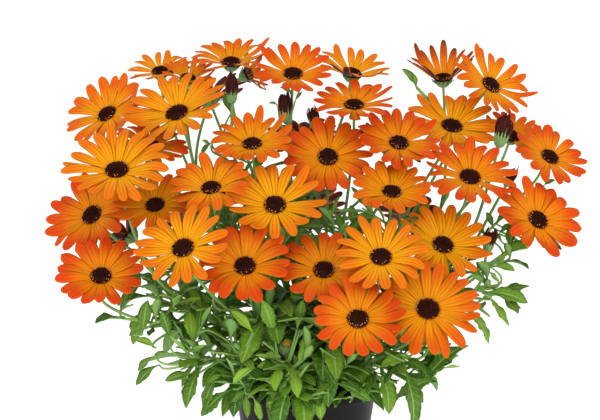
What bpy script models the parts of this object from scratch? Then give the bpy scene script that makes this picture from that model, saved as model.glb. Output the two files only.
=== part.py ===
"""A bushy osteospermum in full flower, standing in a round nursery pot.

Run it with blender --background --python part.py, or from Blender's text editor.
Metres, +Z up. The origin is the middle of the pot's base, the front of the plant looks to -Y.
"""

import math
import random
from collections import namedtuple
from functools import partial
from itertools import product

import bmesh
import bpy
from mathutils import Matrix, Vector
from mathutils.bvhtree import BVHTree

MM = 0.001
SEAT_GAP = 0.3 * MM  # between pieces that touch

# The pot: a tapered shell with a rim band, and drain holes in its floor.
RIM_DIAMETER = 105 * MM
POT_HEIGHT = 92 * MM
BASE_DIAMETER = 74 * MM
WALL = 1.6 * MM
FLOOR = 2.2 * MM
RIM_BAND = 8 * MM
RIM_PROUD = 2.6 * MM
POT_SIDES = 24
DRAIN_HOLES = 4
DRAIN_RADIUS = 4 * MM
DRAIN_SIDES = 6
DRAIN_RING = 23 * MM

# The potting soil fills the pot to just under its rim band.
SOIL_TOP = 81 * MM
SOIL_CROWN = 4 * MM  # how much the middle stands above the edge
HOLE_DEPTH = 12 * MM

# Where the photograph was taken from. The rim is 148 pixels wide there.
PHOTO_MIDDLE = (300, 210)
RIM_MIDDLE = (305.5, 378)
RIM_PIXELS = 148
VIEW_RANGE = 1.35
VIEW_ELEVATION = math.radians(12)

# The flowering surface, as depth over the photograph: nearest low in the middle.
FRONT_DEPTH = -115 * MM
LOW_PIXEL, DEPTH_PER_PIXEL = 320, 0.57 * MM
SIDE_DEPTH, HALF_WIDTH_PIXELS = 45 * MM, 245
STEP_BACK = 13 * MM  # one level between neighbouring blooms
LEVELS = (0, 1, -1, 2, -2, 3, -3)

# An open flower head: ray petals round a raised disc, in a green cup.
RAYS = 13
USUAL_SPAN = 64 * MM
DISC_RADIUS = 6.6 * MM
DISC_HEIGHT = 3.2 * MM
DISC_CROWN = 0.72  # of its radius: the ring of florets that stands up unevenly
RAY_CROWDING = 0.86  # how much of the circle the rays fill where they are widest
RAY_DEPTH = 1.0 * MM
# Two stretches of a ray petal: share of its length, of its width and depth, and droop in degrees.
RAY_SHAPE = ((0.62, 1.0, 1.0, 0), (0.38, 0.45, 0.7, 11))
CUP_DEPTH = 7 * MM
CUP_FOOT = 1.7 * MM
CUP_SIDES = 4
KEEL_DROP = 1.3 * MM  # how far under the disc's edge a ray's root reaches
BENDS = (0, 7, -7, 14, -14, 21, -21, 30, -30, 40)
CLEAR = 0.7 * MM  # how much a trial shape is grown on every side
ROOT_DRAWN_IN = 0.9
ROOT_LIFT = 0.5 * MM
SAME_POINT = 0.001 * MM

# A flower stalk: three-sided, straight under its head, with one node that bears leaves.
STALK_RADIUS = 1.25 * MM
STALK_NECK = 22 * MM
STALK_SHARES = (0.3, 0.62)  # of its length: its node, and where its curve is taken once more
STALK_NODE = 2  # the point of its path at which the node's band ends
STALK_LEAVES = 2
STALK_LEAF_LENGTH = (22 * MM, 38 * MM)

Bloom = namedtuple("Bloom", "px py span lean side cup level", defaults=[0])

# Each open head: the pixel of its disc, its span in mm, and in degrees how far it leans
# from the viewer, to which side (0 is up, + is right), and how far its rays are raised. The last
# value is how many levels it stands behind the flowering surface, or in front of it where below 0.
FRONT_BLOOMS = [
    Bloom(358, 319, 61, 34, 0, 12),
    Bloom(428, 309, 72, 32, 4, 9),
    Bloom(101, 276, 62, 41, 0, 16),
    Bloom(324, 270, 63, 40, 0, 15),
    Bloom(245, 266, 64, 36, -5, 17),
    Bloom(381, 257, 63, 40, 4, 16),
    Bloom(183, 248, 66, 38, -18, 14, -2),
    Bloom(443, 245, 67, 42, 14, 14),
    Bloom(538, 220, 64, 40, 32, 13),
    Bloom(92, 215, 67, 40, -38, 13),
    Bloom(275, 205, 68, 39, 0, 17),
    Bloom(155, 205, 58, 45, -12, 17),
    Bloom(392, 192, 56, 50, 5, 18),
    Bloom(211, 188, 57, 50, -8, 18),
    Bloom(470, 177, 66, 45, 8, 15),
    Bloom(117, 170, 75, 46, -6, 16, -3),
    Bloom(328, 157, 63, 33, 0, 11),
    Bloom(550, 157, 57, 47, 28, 15),
    Bloom(153, 146, 55, 58, 15, 13),
    Bloom(252, 144, 59, 52, -5, 19),
    Bloom(399, 143, 60, 46, 8, 17),
    Bloom(512, 136, 49, 50, 20, 17, 2),
    Bloom(452, 126, 71, 50, 10, 13),
    Bloom(107, 114, 64, 48, -34, 15),
    Bloom(177, 113, 76, 47, -18, 16),
    Bloom(354, 105, 59, 56, 0, 16),
    Bloom(491, 85, 63, 46, 36, 14),
    Bloom(188, 78, 42, 58, 6, 26),
    Bloom(443, 78, 62, 70, -4, 25, 4),
    Bloom(293, 74, 57, 47, 3, 23),
    Bloom(352, 73, 59, 62, 10, 26),
    Bloom(160, 71, 50, 60, -6, 16),
    Bloom(231, 62, 61, 62, 0, 20),
    Bloom(248, 74, 38, 76, 62, 34),
]

# The far side, which the photograph hides, carries on round the same dome in two rows.
# One head of the lower row stands further out, behind a nearer one.
BackRow = namedtuple("BackRow", "angles radius height lean span")
BACK_ROWS = [
    BackRow((18,), 177 * MM, 189 * MM, 34, 50 * MM),
    BackRow((55, 90, 125, 160), 136 * MM, 186 * MM, 34, 62 * MM),
    BackRow((48, 90, 128), 92 * MM, 246 * MM, 54, 62 * MM),
]
BACK_CUP = 14

# Shut heads, dark outside: the pixel of the cup, length in mm, lean, side and level as above.
Bud = namedtuple("Bud", "px py length lean side level", defaults=[0])
DARK_BUDS = [
    Bud(232, 94, 16, 84, 0),
    Bud(286, 114, 16, 84, -4),
    Bud(314, 120, 12, 84, -10),
    Bud(501, 138, 13, 80, 14, -2),
    Bud(510, 178, 12, 80, 28),
    Bud(489, 243, 12, 80, 12),
]
BUD_RAYS = 8
BUD_RAY_WIDTH = 2.3 * MM
BUD_DISC = 4 * MM  # its radius and its height
BUD_BACK = 24 * MM  # they stand behind the open heads
BUD_LEVELS = (0, 1, -1, 2, 3, -2)

# Young green buds low in the foliage: pixel and depth.
GreenBud = namedtuple("GreenBud", "px py depth")
GREEN_BUDS = [
    GreenBud(248, 341, -62 * MM),
    GreenBud(287, 349, -64 * MM),
    GreenBud(394, 341, -58 * MM),
]
GREEN_KNOB = ((1.5 * MM, 3.6 * MM), (3.5 * MM, 4.4 * MM), (3 * MM, 2 * MM))  # steps and radii
KNOB_SIDES = 6
KNOB_LEAN = 60

# Leafy stems: bearing in degrees (0 is +X, -90 the front), how far out each comes up
# through the soil, how far out its tip is, and how high that is over its collar.
LeafyStem = namedtuple("LeafyStem", "bearing root reach rise")
LEAFY_STEMS = [
    LeafyStem(-96, 21 * MM, 64 * MM, 26 * MM),
    LeafyStem(-40, 20 * MM, 92 * MM, 36 * MM),
    LeafyStem(-146, 20 * MM, 92 * MM, 34 * MM),
    LeafyStem(14, 20 * MM, 112 * MM, 62 * MM),
    LeafyStem(168, 20 * MM, 116 * MM, 58 * MM),
    LeafyStem(90, 20 * MM, 84 * MM, 60 * MM),
    LeafyStem(-58, 9 * MM, 46 * MM, 98 * MM),
    LeafyStem(128, 9 * MM, 52 * MM, 120 * MM),
    LeafyStem(-118, 15 * MM, 56 * MM, 66 * MM),
    LeafyStem(-72, 18 * MM, 62 * MM, 48 * MM),
]
STEM_RADIUS = 2.6 * MM
STEM_TAPER = 0.45  # how much slimmer its tip is
STEM_SIDES = 5
COLLAR = 8 * MM  # the height over the soil at which a stem starts to lean out
STEM_NODES = 5  # places along a stem where leaves and stalks leave it
NODE_LENGTH = 2.6 * MM
STEM_LEAVES = 16
LEAF_LENGTH = (36 * MM, 52 * MM)

# A leaf: half its width, as a share of the width, at shares of its length. A big one has a slim
# foot, a belly that ends in a tooth on each side, and a lance tip. A small one is spoon shaped.
LEAF_WIDTH = 0.31  # of its length
BIG_LEAF = ((0.26, 0.13), (0.57, 0.5), (0.65, 0.37))
SMALL_LEAF = ((0.27, 0.15), (0.66, 0.5))
LEAF_DEPTH = 1.0 * MM
LEAF_FREE = (0.17, 0.09)  # where it has left its stem, and half its width there
TILTS = (0, 14, -14, 28, -28)
SWINGS = (0, 20, -20, 42, -42)


def polar(degrees):
    """The level unit vector at that bearing from +X."""
    turn = math.radians(degrees)
    return Vector((math.cos(turn), math.sin(turn), 0))


def blade_frame(centre, normal, roll):
    """A matrix whose Z is normal, turned by roll round it, at centre."""
    spin = Matrix.Rotation(roll, 4, "Z")
    return Matrix.Translation(centre) @ normal.to_track_quat("Z", "Y").to_matrix().to_4x4() @ spin


def view_axes():
    rise, flat = math.sin(VIEW_ELEVATION), math.cos(VIEW_ELEVATION)
    return Vector((1, 0, 0)), Vector((0, rise, flat)), Vector((0, flat, -rise))


def photo_place(px, py, depth):
    """The point seen at that pixel whose Y is depth."""
    right, up, into = view_axes()
    scale = RIM_DIAMETER / RIM_PIXELS
    aim = Vector((0, 0, POT_HEIGHT))
    aim -= right * (RIM_MIDDLE[0] - PHOTO_MIDDLE[0]) * scale
    aim += up * (RIM_MIDDLE[1] - PHOTO_MIDDLE[1]) * scale
    across = (px - PHOTO_MIDDLE[0]) * scale / VIEW_RANGE
    rise = (PHOTO_MIDDLE[1] - py) * scale / VIEW_RANGE
    beyond = (depth - aim.y - rise * VIEW_RANGE * up.y) / (rise * up.y + into.y)
    far = VIEW_RANGE + beyond
    return aim + right * across * far + up * rise * far + into * beyond


def surface_depth(px, py):
    side = (px - RIM_MIDDLE[0]) / HALF_WIDTH_PIXELS
    return FRONT_DEPTH + (LOW_PIXEL - py) * DEPTH_PER_PIXEL + SIDE_DEPTH * side * side


def facing(lean, side):
    """The way a head faces: lean degrees from the viewer, towards side degrees from up."""
    right, up, into = view_axes()
    lean, side = math.radians(lean), math.radians(side)
    return -into * math.cos(lean) + (up * math.cos(side) + right * math.sin(side)) * math.sin(lean)


class Shape:
    """Points and faces on the way to a mesh."""

    def __init__(self):
        self.points = []
        self.faces = []

    def add(self, *points):
        first = len(self.points)
        self.points.extend(points)
        return list(range(first, len(self.points)))

    def band(self, low, high):
        """Triangles from one ring to the next, which is as long."""
        for i in range(len(low)):
            j = (i + 1) % len(low)
            self.faces += [(low[i], low[j], high[j]), (low[i], high[j], high[i])]

    def graft(self, other, root):
        """Adds another shape, whose first points are these of this one. Returns its points here."""
        index = list(root) + self.add(*other.points[len(root):])
        self.faces += [tuple(index[n] for n in face) for face in other.faces]
        return index

    def moved(self, matrix):
        self.points = [matrix @ p for p in self.points]
        return self

    def closed(self, roots):
        """A copy with a face over each root."""
        whole = Shape()
        whole.points = list(self.points)
        whole.faces = self.faces + [root.corners for root in roots]
        return whole

    def box(self):
        columns = list(zip(*self.points))
        return [min(column) for column in columns], [max(column) for column in columns]

    def tree(self):
        return BVHTree.FromPolygons(self.points, self.faces)

    def crosses_itself(self):
        tree = self.tree()
        return any(not set(self.faces[x]) & set(self.faces[y]) for x, y in tree.overlap(tree))


class Garden:
    """What already stands, so that a new piece can be bent clear of it."""

    def __init__(self):
        self.placed = []

    def put(self, shape, roots=()):
        """Stands a shape there, with its free roots closed."""
        whole = shape.closed(roots)
        self.placed.append((*whole.box(), whole.tree(), whole))

    def crossings(self, shape):
        """How many of the standing pieces a shape runs through."""
        low, high = shape.box()
        tree = None
        found = 0
        for lo, hi, standing, other in self.placed:
            if any(low[k] > hi[k] or lo[k] > high[k] for k in range(3)):
                continue
            tree = tree or shape.tree()
            found += bool(tree.overlap(standing))
        return found

    def pierced(self, shape, roots=()):
        """Whether a grown piece runs through anything, or itself.

        Its root's three corners, which it shares with its stem, aren't counted. Where two faces
        meet in one of them, the piece is tried again with its corners drawn in a little.
        """
        trial = shape.closed(roots)
        tree = trial.tree()
        for low, high, standing, other in self.placed:
            for x, y in tree.overlap(standing):
                near = [other.points[n] for n in other.faces[y]]
                own = [trial.points[n] for n in trial.faces[x]]
                if min((a - b).length for a in near for b in own) > SAME_POINT:
                    return True
        if trial.crosses_itself():
            return True
        a, b, c = shape.points[:3]
        middle = (a + b + c) / 3 + (c - a).cross(b - a).normalized() * ROOT_LIFT
        trial.points[:3] = [middle.lerp(p, ROOT_DRAWN_IN) for p in (a, b, c)]
        return bool(self.crossings(trial))


def ray_draws(rng, cup):
    """One ray petal's own raise, yaw, length and twist."""
    return (
        cup + rng.uniform(-5, 5),
        rng.uniform(-1.2, 1.2),
        rng.uniform(0.93, 1.03),
        rng.uniform(-9, 9),
    )


def ray_stations(index, rays, radius, length, width, draws, bend, grow=0.0):
    """A ray petal's widest place and blunt end, in its head's frame: two edges and a keel each."""
    raise_deg, yaw, stretch, twist = draws
    out = polar(360 * (index + 0.5) / rays + yaw)
    across = Vector((-out.y, out.x, 0))
    length = length * stretch + grow
    turn = math.radians(twist)
    point = out * radius
    stations = []
    for share, wide, deep, droop in RAY_SHAPE:
        angle = math.radians(raise_deg + bend - droop)
        ahead = out * math.cos(angle) + Vector((0, 0, math.sin(angle)))
        over = Vector((0, 0, math.cos(angle))) - out * math.sin(angle)
        edge = across * math.cos(turn) + over * math.sin(turn)
        point = point + ahead * length * share
        half = edge * (width * wide / 2 + grow)
        top = point + over * grow
        stations.append((top - half, top + half, point - over * (RAY_DEPTH * deep + grow)))
    return stations


def add_ray(shape, root, near, far):
    """A ray petal on its root triangle, widest at near and closed by a blunt edge at far."""
    left, right, keel = shape.add(*near)
    tip_left, tip_right = shape.add(*far[:2])
    shape.band(root, (left, right, keel))
    shape.faces += [(left, right, tip_right, tip_left), (keel, left, tip_left)]
    shape.faces += [(right, keel, tip_right), (keel, tip_left, tip_right)]


def ray_trial(index, rays, radius, length, width, draws, bend):
    """A ray petal by itself, grown by the clearance, to try against what stands."""
    near, far = ray_stations(index, rays, radius, length, width, draws, bend, CLEAR)
    root = polar(360 * (index + 0.5) / rays) * radius
    slim = Vector((-root.y, root.x, 0)).normalized() * (width / 4 + CLEAR)
    lift = Vector((0, 0, CLEAR))
    shape = Shape()
    base = shape.add(root - slim + lift, root + slim + lift, root - lift * 3)
    first, last = shape.add(*near), shape.add(*far)
    shape.band(base, first)
    shape.band(first, last)
    shape.faces += [tuple(base), tuple(last)]
    return shape


def head_core(rays, radius, disc, seed):
    """The disc with its relief and the cup under it, with the rings that the rays grow from."""
    rng = random.Random(seed)
    shape = Shape()
    rim, keel, crown, foot = [], [], [], []
    for i in range(rays):
        edge = polar(360 * i / rays)
        middle = polar(360 * (i + 0.5) / rays)
        rim += shape.add(edge * radius)
        keel += shape.add(middle * (radius * 0.93) - Vector((0, 0, KEEL_DROP)))
        lift = Vector((0, 0, disc * rng.uniform(0.55, 0.95)))
        crown += shape.add(edge * radius * DISC_CROWN + lift)
    apex = shape.add(Vector((0, 0, disc)))[0]
    for k in range(CUP_SIDES):
        foot += shape.add(polar(360 * k / CUP_SIDES) * CUP_FOOT - Vector((0, 0, CUP_DEPTH)))
    shape.band(rim, crown)
    for i in range(rays):
        j = (i + 1) % rays
        under = round((i + 0.5) * CUP_SIDES / rays) % CUP_SIDES
        after = round((i + 1.5) * CUP_SIDES / rays) % CUP_SIDES
        shape.faces.append((crown[i], crown[j], apex))
        shape.faces.append((rim[j], keel[i], keel[j]))
        shape.faces.append((keel[j], keel[i], foot[under]))
        if under != after:
            shape.faces.append((keel[j], foot[under], foot[after]))
    shape.faces.append(tuple(reversed(foot)))
    return shape, rim, keel


def flower_head(rays, radius, length, width, disc, seed, draws, bends):
    """One closed body: disc, cup and every ray petal whose bend isn't None."""
    shape, rim, keel = head_core(rays, radius, disc, seed)
    for i in range(rays):
        j = (i + 1) % rays
        root = (rim[i], rim[j], keel[i])
        if bends[i] is None:
            shape.faces.append(root)
            continue
        add_ray(shape, root, *ray_stations(i, rays, radius, length, width, draws[i], bends[i]))
    return shape


def frames_along(points):
    """Each point of a path with two directions across it, turned as little as can be."""
    across = None
    for i, point in enumerate(points):
        ahead = (points[min(i + 1, len(points) - 1)] - points[max(i - 1, 0)]).normalized()
        if across is None:
            across = ahead.orthogonal()
        across = (across - ahead * across.dot(ahead)).normalized()
        yield point, across, ahead.cross(across)


def ring_points(frame, radius, sides, way=1):
    """Points round a path, counter-clockwise along it, or clockwise if way is -1."""
    point, across, third = frame
    turns = [way * 2 * math.pi * k / sides for k in range(sides)]
    return [point + (across * math.cos(t) + third * math.sin(t)) * radius for t in turns]


def tube(points, radii, sides):
    """A closed tube through points, of the given radius at each."""
    shape = Shape()
    rings = [
        shape.add(*ring_points(frame, radius, sides))
        for frame, radius in zip(frames_along(points), radii)
    ]
    for low, high in zip(rings, rings[1:]):
        shape.band(low, high)
    shape.faces.append(tuple(reversed(rings[0])))
    shape.faces.append(tuple(rings[-1]))
    return shape


def bezier(a, b, c, d, t):
    s = 1 - t
    return a * s**3 + b * 3 * s * s * t + c * 3 * s * t * t + d * t**3


# A triangle on a stem's surface that a leaf or a stalk can grow from: upper right, upper left
# and lower corner, its middle, the way it faces, and the way its stem runs.
Root = namedtuple("Root", "corners centre out along")


def root_on(shape, corners, along):
    a, b, c = (shape.points[n] for n in corners)
    return Root(corners, (a + b + c) / 3, (c - a).cross(b - a).normalized(), along)


def least_turn(old, new):
    """How far the new ring is to be turned so that it lies nearest to the old one."""
    gaps = [sum((a - b).length for a, b in zip(old, new[k:] + new[:k])) for k in range(len(new))]
    return gaps.index(min(gaps))


def stem_shape(points, radii, nodes):
    """A stem with a flat foot and a pointed tip, and the roots on its node bands."""
    shape = Shape()
    roots = []
    frames = list(frames_along(points))
    rings = [shape.add(*ring_points(f, r, STEM_SIDES)) for f, r in zip(frames, radii)]
    for n, (low, high) in enumerate(zip(rings, rings[1:])):
        if n not in nodes:
            shape.band(low, high)
            continue
        for i in range(STEM_SIDES):
            j = (i + 1) % STEM_SIDES
            shape.faces.append((low[i], low[j], high[j]))
            along = (points[n + 1] - points[n]).normalized()
            roots.append(root_on(shape, (high[i], high[j], low[i]), along))
    shape.faces.append(tuple(reversed(rings[0])))
    tip = shape.add(points[-1] * 2 - points[-2].lerp(points[-1], 0.5))[0]
    for i in range(STEM_SIDES):
        shape.faces.append((rings[-1][i], rings[-1][(i + 1) % STEM_SIDES], tip))
    return shape, roots


def stalk_shape(start, path):
    """A three-sided stalk from a root's corners, its last ring, and the roots on its node."""
    shape = Shape()
    ring = shape.add(*start)
    roots = []
    rows = [ring_points(frame, STALK_RADIUS, 3, -1) for frame in list(frames_along(path))[1:]]
    shift = least_turn(start, rows[0])
    for n, row in enumerate(rows):
        after = shape.add(*(row[shift:] + row[:shift]))
        if n + 1 == STALK_NODE:
            along = (path[n + 1] - path[n]).normalized()
            for i in range(3):
                j = (i + 1) % 3
                shape.faces.append((ring[i], ring[j], after[i]))
                roots.append(root_on(shape, (after[j], after[i], ring[j]), along))
        else:
            shape.band(ring, after)
        ring = after
    return shape, ring, roots


LeafPose = namedtuple("LeafPose", "foot bearing pitch droop roll length outline")


def leaf_stations(pose, grow=0.0):
    """A leaf that arches from its foot: right edge, left edge and keel at each station, and tip."""
    stations = []
    point = pose.foot.copy()
    travelled = 0.0
    lean = math.radians(pose.roll)
    out = polar(pose.bearing)
    level = Vector((-out.y, out.x, 0))
    for share, half in pose.outline + ((1.0, 0.0),):
        angle = math.radians(pose.pitch - pose.droop * (travelled + share) / 2)
        ahead = out * math.cos(angle) + Vector((0, 0, math.sin(angle)))
        over = Vector((0, 0, math.cos(angle))) - out * math.sin(angle)
        point = point + ahead * (share - travelled) * pose.length
        travelled = share
        edge = level * math.cos(lean) + over * math.sin(lean)
        top = point + over * grow
        wide = edge * (half * pose.length * LEAF_WIDTH + grow)
        stations.append([top - wide, top + wide, point - over * (LEAF_DEPTH + grow)])
    return stations[:-1], point


def add_point(shape, ring, tip):
    """Closes a three-sided blade with its pointed tip."""
    end = shape.add(tip)[0]
    for i in range(3):
        shape.faces.append((ring[i], ring[(i + 1) % 3], end))


def leaf_trial(pose):
    """A leaf by itself, grown by the clearance, from where it has left its stem."""
    stations, tip = leaf_stations(pose._replace(outline=(LEAF_FREE,) + pose.outline), CLEAR)
    shape = Shape()
    rings = [shape.add(*station) for station in stations]
    for low, high in zip(rings, rings[1:]):
        shape.band(low, high)
    add_point(shape, rings[-1], tip)
    return shape


def leaf_shape(start, pose):
    """A leaf that grows from a root's corners."""
    stations, tip = leaf_stations(pose)
    shape = Shape()
    ring = shape.add(*start)
    shift = least_turn(start, stations[0])
    for station in stations:
        after = shape.add(*(station[shift:] + station[:shift]))
        shape.band(ring, after)
        ring = after
    add_point(shape, ring, tip)
    return shape


def material(name, colour, roughness):
    made = bpy.data.materials.new(name)
    made.use_nodes = True
    shader = made.node_tree.nodes["Principled BSDF"]
    shader.inputs["Base Color"].default_value = (*colour, 1)
    shader.inputs["Roughness"].default_value = roughness
    shader.inputs["Metallic"].default_value = 0
    return made


def mesh_object(name, shape, finish, whole_faces=False):
    """A mesh object of the shape, its faces turned out, and cut to triangles unless kept whole."""
    mesh = bpy.data.meshes.new(name)
    mesh.from_pydata([tuple(p) for p in shape.points], [], shape.faces)
    work = bmesh.new()
    work.from_mesh(mesh)
    if not whole_faces:
        bmesh.ops.triangulate(work, faces=work.faces)
    bmesh.ops.recalc_face_normals(work, faces=work.faces)
    work.to_mesh(mesh)
    work.free()
    mesh.materials.append(finish)
    made = bpy.data.objects.new(name, mesh)
    bpy.context.scene.collection.objects.link(made)
    return made


def remove(made):
    bpy.data.objects.remove(made, do_unlink=True)


def apply_modifiers(made):
    """Puts the evaluated mesh in place of the object's own."""
    bpy.context.view_layer.update()
    graph = bpy.context.evaluated_depsgraph_get()
    mesh = bpy.data.meshes.new_from_object(made.evaluated_get(graph))
    made.modifiers.clear()
    made.data = mesh


def lathe(name, profile, sides, finish):
    """A solid turned from (radius, height) points, closed by a flat face at each end."""
    shape = Shape()
    rings = []
    for radius, height in profile:
        ring = []
        for k in range(sides):
            turn = 2 * math.pi * k / sides
            ring += shape.add(Vector((math.cos(turn) * radius, math.sin(turn) * radius, height)))
        rings.append(ring)
    for low, high in zip(rings, rings[1:]):
        shape.band(low, high)
    shape.faces += [tuple(reversed(rings[0])), tuple(rings[-1])]
    return mesh_object(name, shape, finish, whole_faces=True)


def cut(made, cutters):
    """Cuts each cutter from the object, then removes the cutters."""
    for cutter in cutters:
        hole = made.modifiers.new("hole", "BOOLEAN")
        hole.operation = "DIFFERENCE"
        hole.solver = "EXACT"
        hole.object = cutter
    apply_modifiers(made)
    for cutter in cutters:
        remove(cutter)


def wall_radius(height):
    """The outer radius of the pot's tapered wall."""
    band_foot = POT_HEIGHT - RIM_BAND
    top = RIM_DIAMETER / 2 - RIM_PROUD
    return BASE_DIAMETER / 2 + (top - BASE_DIAMETER / 2) * height / band_foot


def make_pot(finish):
    rim = RIM_DIAMETER / 2
    band_foot = POT_HEIGHT - RIM_BAND
    profile = [
        (BASE_DIAMETER / 2, 0),
        (wall_radius(band_foot), band_foot),
        (rim, band_foot + 1.2 * MM),
        (rim, POT_HEIGHT),
        (rim - WALL, POT_HEIGHT),
        (wall_radius(band_foot) - WALL, band_foot),
        (wall_radius(FLOOR) - WALL, FLOOR),
    ]
    pot = lathe("pot", profile, POT_SIDES, finish)
    drains = []
    for k in range(DRAIN_HOLES):
        turn = 2 * math.pi * (k + 0.5) / DRAIN_HOLES
        middle = Vector((math.cos(turn) * DRAIN_RING, math.sin(turn) * DRAIN_RING, 0))
        ends = [middle - Vector((0, 0, FLOOR)), middle + Vector((0, 0, 2 * FLOOR))]
        drains.append(mesh_object(f"drain_{k}", tube(ends, [DRAIN_RADIUS] * 2, DRAIN_SIDES), finish))
    cut(pot, drains)
    return pot


def make_soil(finish, stem_feet):
    """The root ball, mounded and lumpy on top, with a hole for each stem's foot."""
    rng = random.Random(5)
    low = FLOOR + SEAT_GAP
    slack = WALL + SEAT_GAP / math.cos(math.pi / POT_SIDES)
    shape = Shape()
    base = shape.add(Vector((0, 0, low)))[0]
    rings = []
    rows = [
        (wall_radius(low) - slack, low, POT_SIDES),
        (wall_radius(SOIL_TOP) - slack, SOIL_TOP, POT_SIDES),
        (0.68 * wall_radius(SOIL_TOP), SOIL_TOP + 0.4 * SOIL_CROWN, POT_SIDES // 2),
        (0.3 * wall_radius(SOIL_TOP), SOIL_TOP + SOIL_CROWN, POT_SIDES // 4),
    ]
    for index, (radius, height, count) in enumerate(rows):
        ring = []
        for k in range(count):
            turn = 2 * math.pi * k / count
            lump = rng.uniform(-1, 1) * MM if index > 1 else 0
            ring += shape.add(
                Vector((math.cos(turn) * radius, math.sin(turn) * radius, height + lump))
            )
        rings.append(ring)
    top = shape.add(Vector((0, 0, SOIL_TOP + SOIL_CROWN)))[0]
    for k in range(POT_SIDES):
        shape.faces.append((rings[0][(k + 1) % POT_SIDES], rings[0][k], base))
    shape.band(rings[0], rings[1])
    for wide, narrow in zip(rings[1:], rings[2:]):
        for k in range(len(narrow)):
            a, b, c = (wide[(2 * k + n) % len(wide)] for n in range(3))
            here, there = narrow[k], narrow[(k + 1) % len(narrow)]
            shape.faces += [(a, b, here), (b, there, here), (b, c, there)]
    for k in range(len(rings[-1])):
        shape.faces.append((rings[-1][k], rings[-1][(k + 1) % len(rings[-1])], top))
    soil = mesh_object("potting_soil", shape, finish)
    sockets = []
    for k, foot in enumerate(stem_feet):
        radius = STEM_RADIUS + SEAT_GAP / math.cos(math.pi / STEM_SIDES)
        ends = [foot - Vector((0, 0, SEAT_GAP)), foot + Vector((0, 0, 3 * HOLE_DEPTH))]
        sockets.append(mesh_object(f"socket_{k}", tube(ends, [radius] * 2, STEM_SIDES), finish))
    cut(soil, sockets)
    return soil


def stem_path(stem):
    """A leafy stem's line: up out of the soil, then arching outwards, with pairs of node points."""
    out = polar(stem.bearing)
    foot = out * stem.root + Vector((0, 0, SOIL_TOP - HOLE_DEPTH))
    collar = foot + Vector((0, 0, HOLE_DEPTH + COLLAR))
    tip = collar + out * (stem.reach - stem.root) + Vector((0, 0, stem.rise))
    knee = collar + Vector((0, 0, stem.rise * 0.5))
    bow = tip - out * stem.reach * 0.35 - Vector((0, 0, stem.rise * 0.25))
    step = NODE_LENGTH / (tip - collar).length
    path = [foot, collar]
    for k in range(STEM_NODES):
        share = 0.1 + 0.8 * k / (STEM_NODES - 1)
        path += [bezier(collar, knee, bow, tip, share), bezier(collar, knee, bow, tip, share + step)]
    return path + [tip]


def stem_radii(count):
    """A stem's radius at each point: even in the soil, then tapering."""
    taper = [STEM_RADIUS * (1 - STEM_TAPER * k / count) for k in range(count - 2)]
    return [STEM_RADIUS] * 2 + taper


def stalk_path(root, seat, way, neck_length, bow):
    """A flower stalk from its root to its head, straight for its last stretch."""
    neck = seat - way * neck_length
    gap = (neck - root.centre).length
    lift = Vector((root.centre.x * 0.6, root.centre.y * 0.6, 40 * MM)).normalized()
    first = root.centre + root.out * max(0.16 * gap, 8 * MM) + lift * gap * 0.26 + bow
    second = neck - way * gap * 0.3 + bow
    node, bend = STALK_SHARES
    shares = (0, node, node + NODE_LENGTH / gap, bend, 1)
    return [bezier(root.centre, first, second, neck, t) for t in shares] + [seat]


def bows(start, seat):
    """Neck lengths and sideways bows to try for a stalk, the straightest first."""
    line = (seat - start).normalized()
    across = line.cross(Vector((0, 0, 1)))
    across = across.normalized() if across.length > 0.1 else Vector((1, 0, 0))
    over = across.cross(line)
    for neck_length in (STALK_NECK, STALK_NECK / 2):
        yield neck_length, Vector((0, 0, 0))
        for reach in (8, 16, 26, 38, 52):
            for k in range(8):
                turn = math.pi / 4 * k
                bow = across * math.cos(turn) + over * math.sin(turn)
                yield neck_length, bow * reach * MM


Head = namedtuple("Head", "index way span cup levels")
Fit = namedtuple("Fit", "cost stem root path")


def all_heads():
    """Every open head, in the order they are set: the front first, then the far side."""
    heads = []
    for b in FRONT_BLOOMS:
        depth = surface_depth(b.px, b.py)
        levels = [photo_place(b.px, b.py, depth + (b.level + n) * STEP_BACK) for n in LEVELS]
        heads.append(Head(len(heads), facing(b.lean, b.side), b.span * MM, b.cup, levels))
    for row in BACK_ROWS:
        for angle in row.angles:
            lean = math.radians(row.lean)
            way = polar(angle) * math.cos(lean) + Vector((0, 0, math.sin(lean)))
            place = polar(angle) * row.radius + Vector((0, 0, row.height))
            levels = [place + way * n * STEP_BACK for n in LEVELS]
            heads.append(Head(len(heads), way, row.span, BACK_CUP, levels))
    return heads


class Stem:
    """A leafy stem as it grows: its shape, and the roots on it that are still free."""

    def __init__(self, values):
        self.path = stem_path(values)
        nodes = range(2, 2 + 2 * STEM_NODES, 2)
        self.shape, self.roots = stem_shape(self.path, stem_radii(len(self.path)), nodes)
        self.stalk_roots = []

    def grow(self, root, piece):
        self.roots.remove(root)
        return self.shape.graft(piece, root.corners)

    def close(self):
        """Closes the roots that nothing grew from."""
        for root in self.roots + self.stalk_roots:
            self.shape.faces.append(root.corners)


def unlikeness(root, stem, seat, drawn):
    """How badly a root suits a stalk to seat that is to leave the stem at the drawn height."""
    base, top = stem.path[1].z, stem.path[-1].z
    facing_it = (seat - root.centre).normalized().dot(root.out)
    return abs((root.centre.z - base) / (top - base) - drawn) - facing_it


def stalk_starts(stems, seat, drawn):
    """The free roots that face the seat best, on the stems whose tips are nearest to it."""
    near = sorted(stems, key=lambda stem: (seat - stem.path[-1]).length)
    for stem in near[:4]:
        for root in sorted(stem.roots, key=lambda r: unlikeness(r, stem, seat, drawn))[:4]:
            yield stem, root


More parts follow.
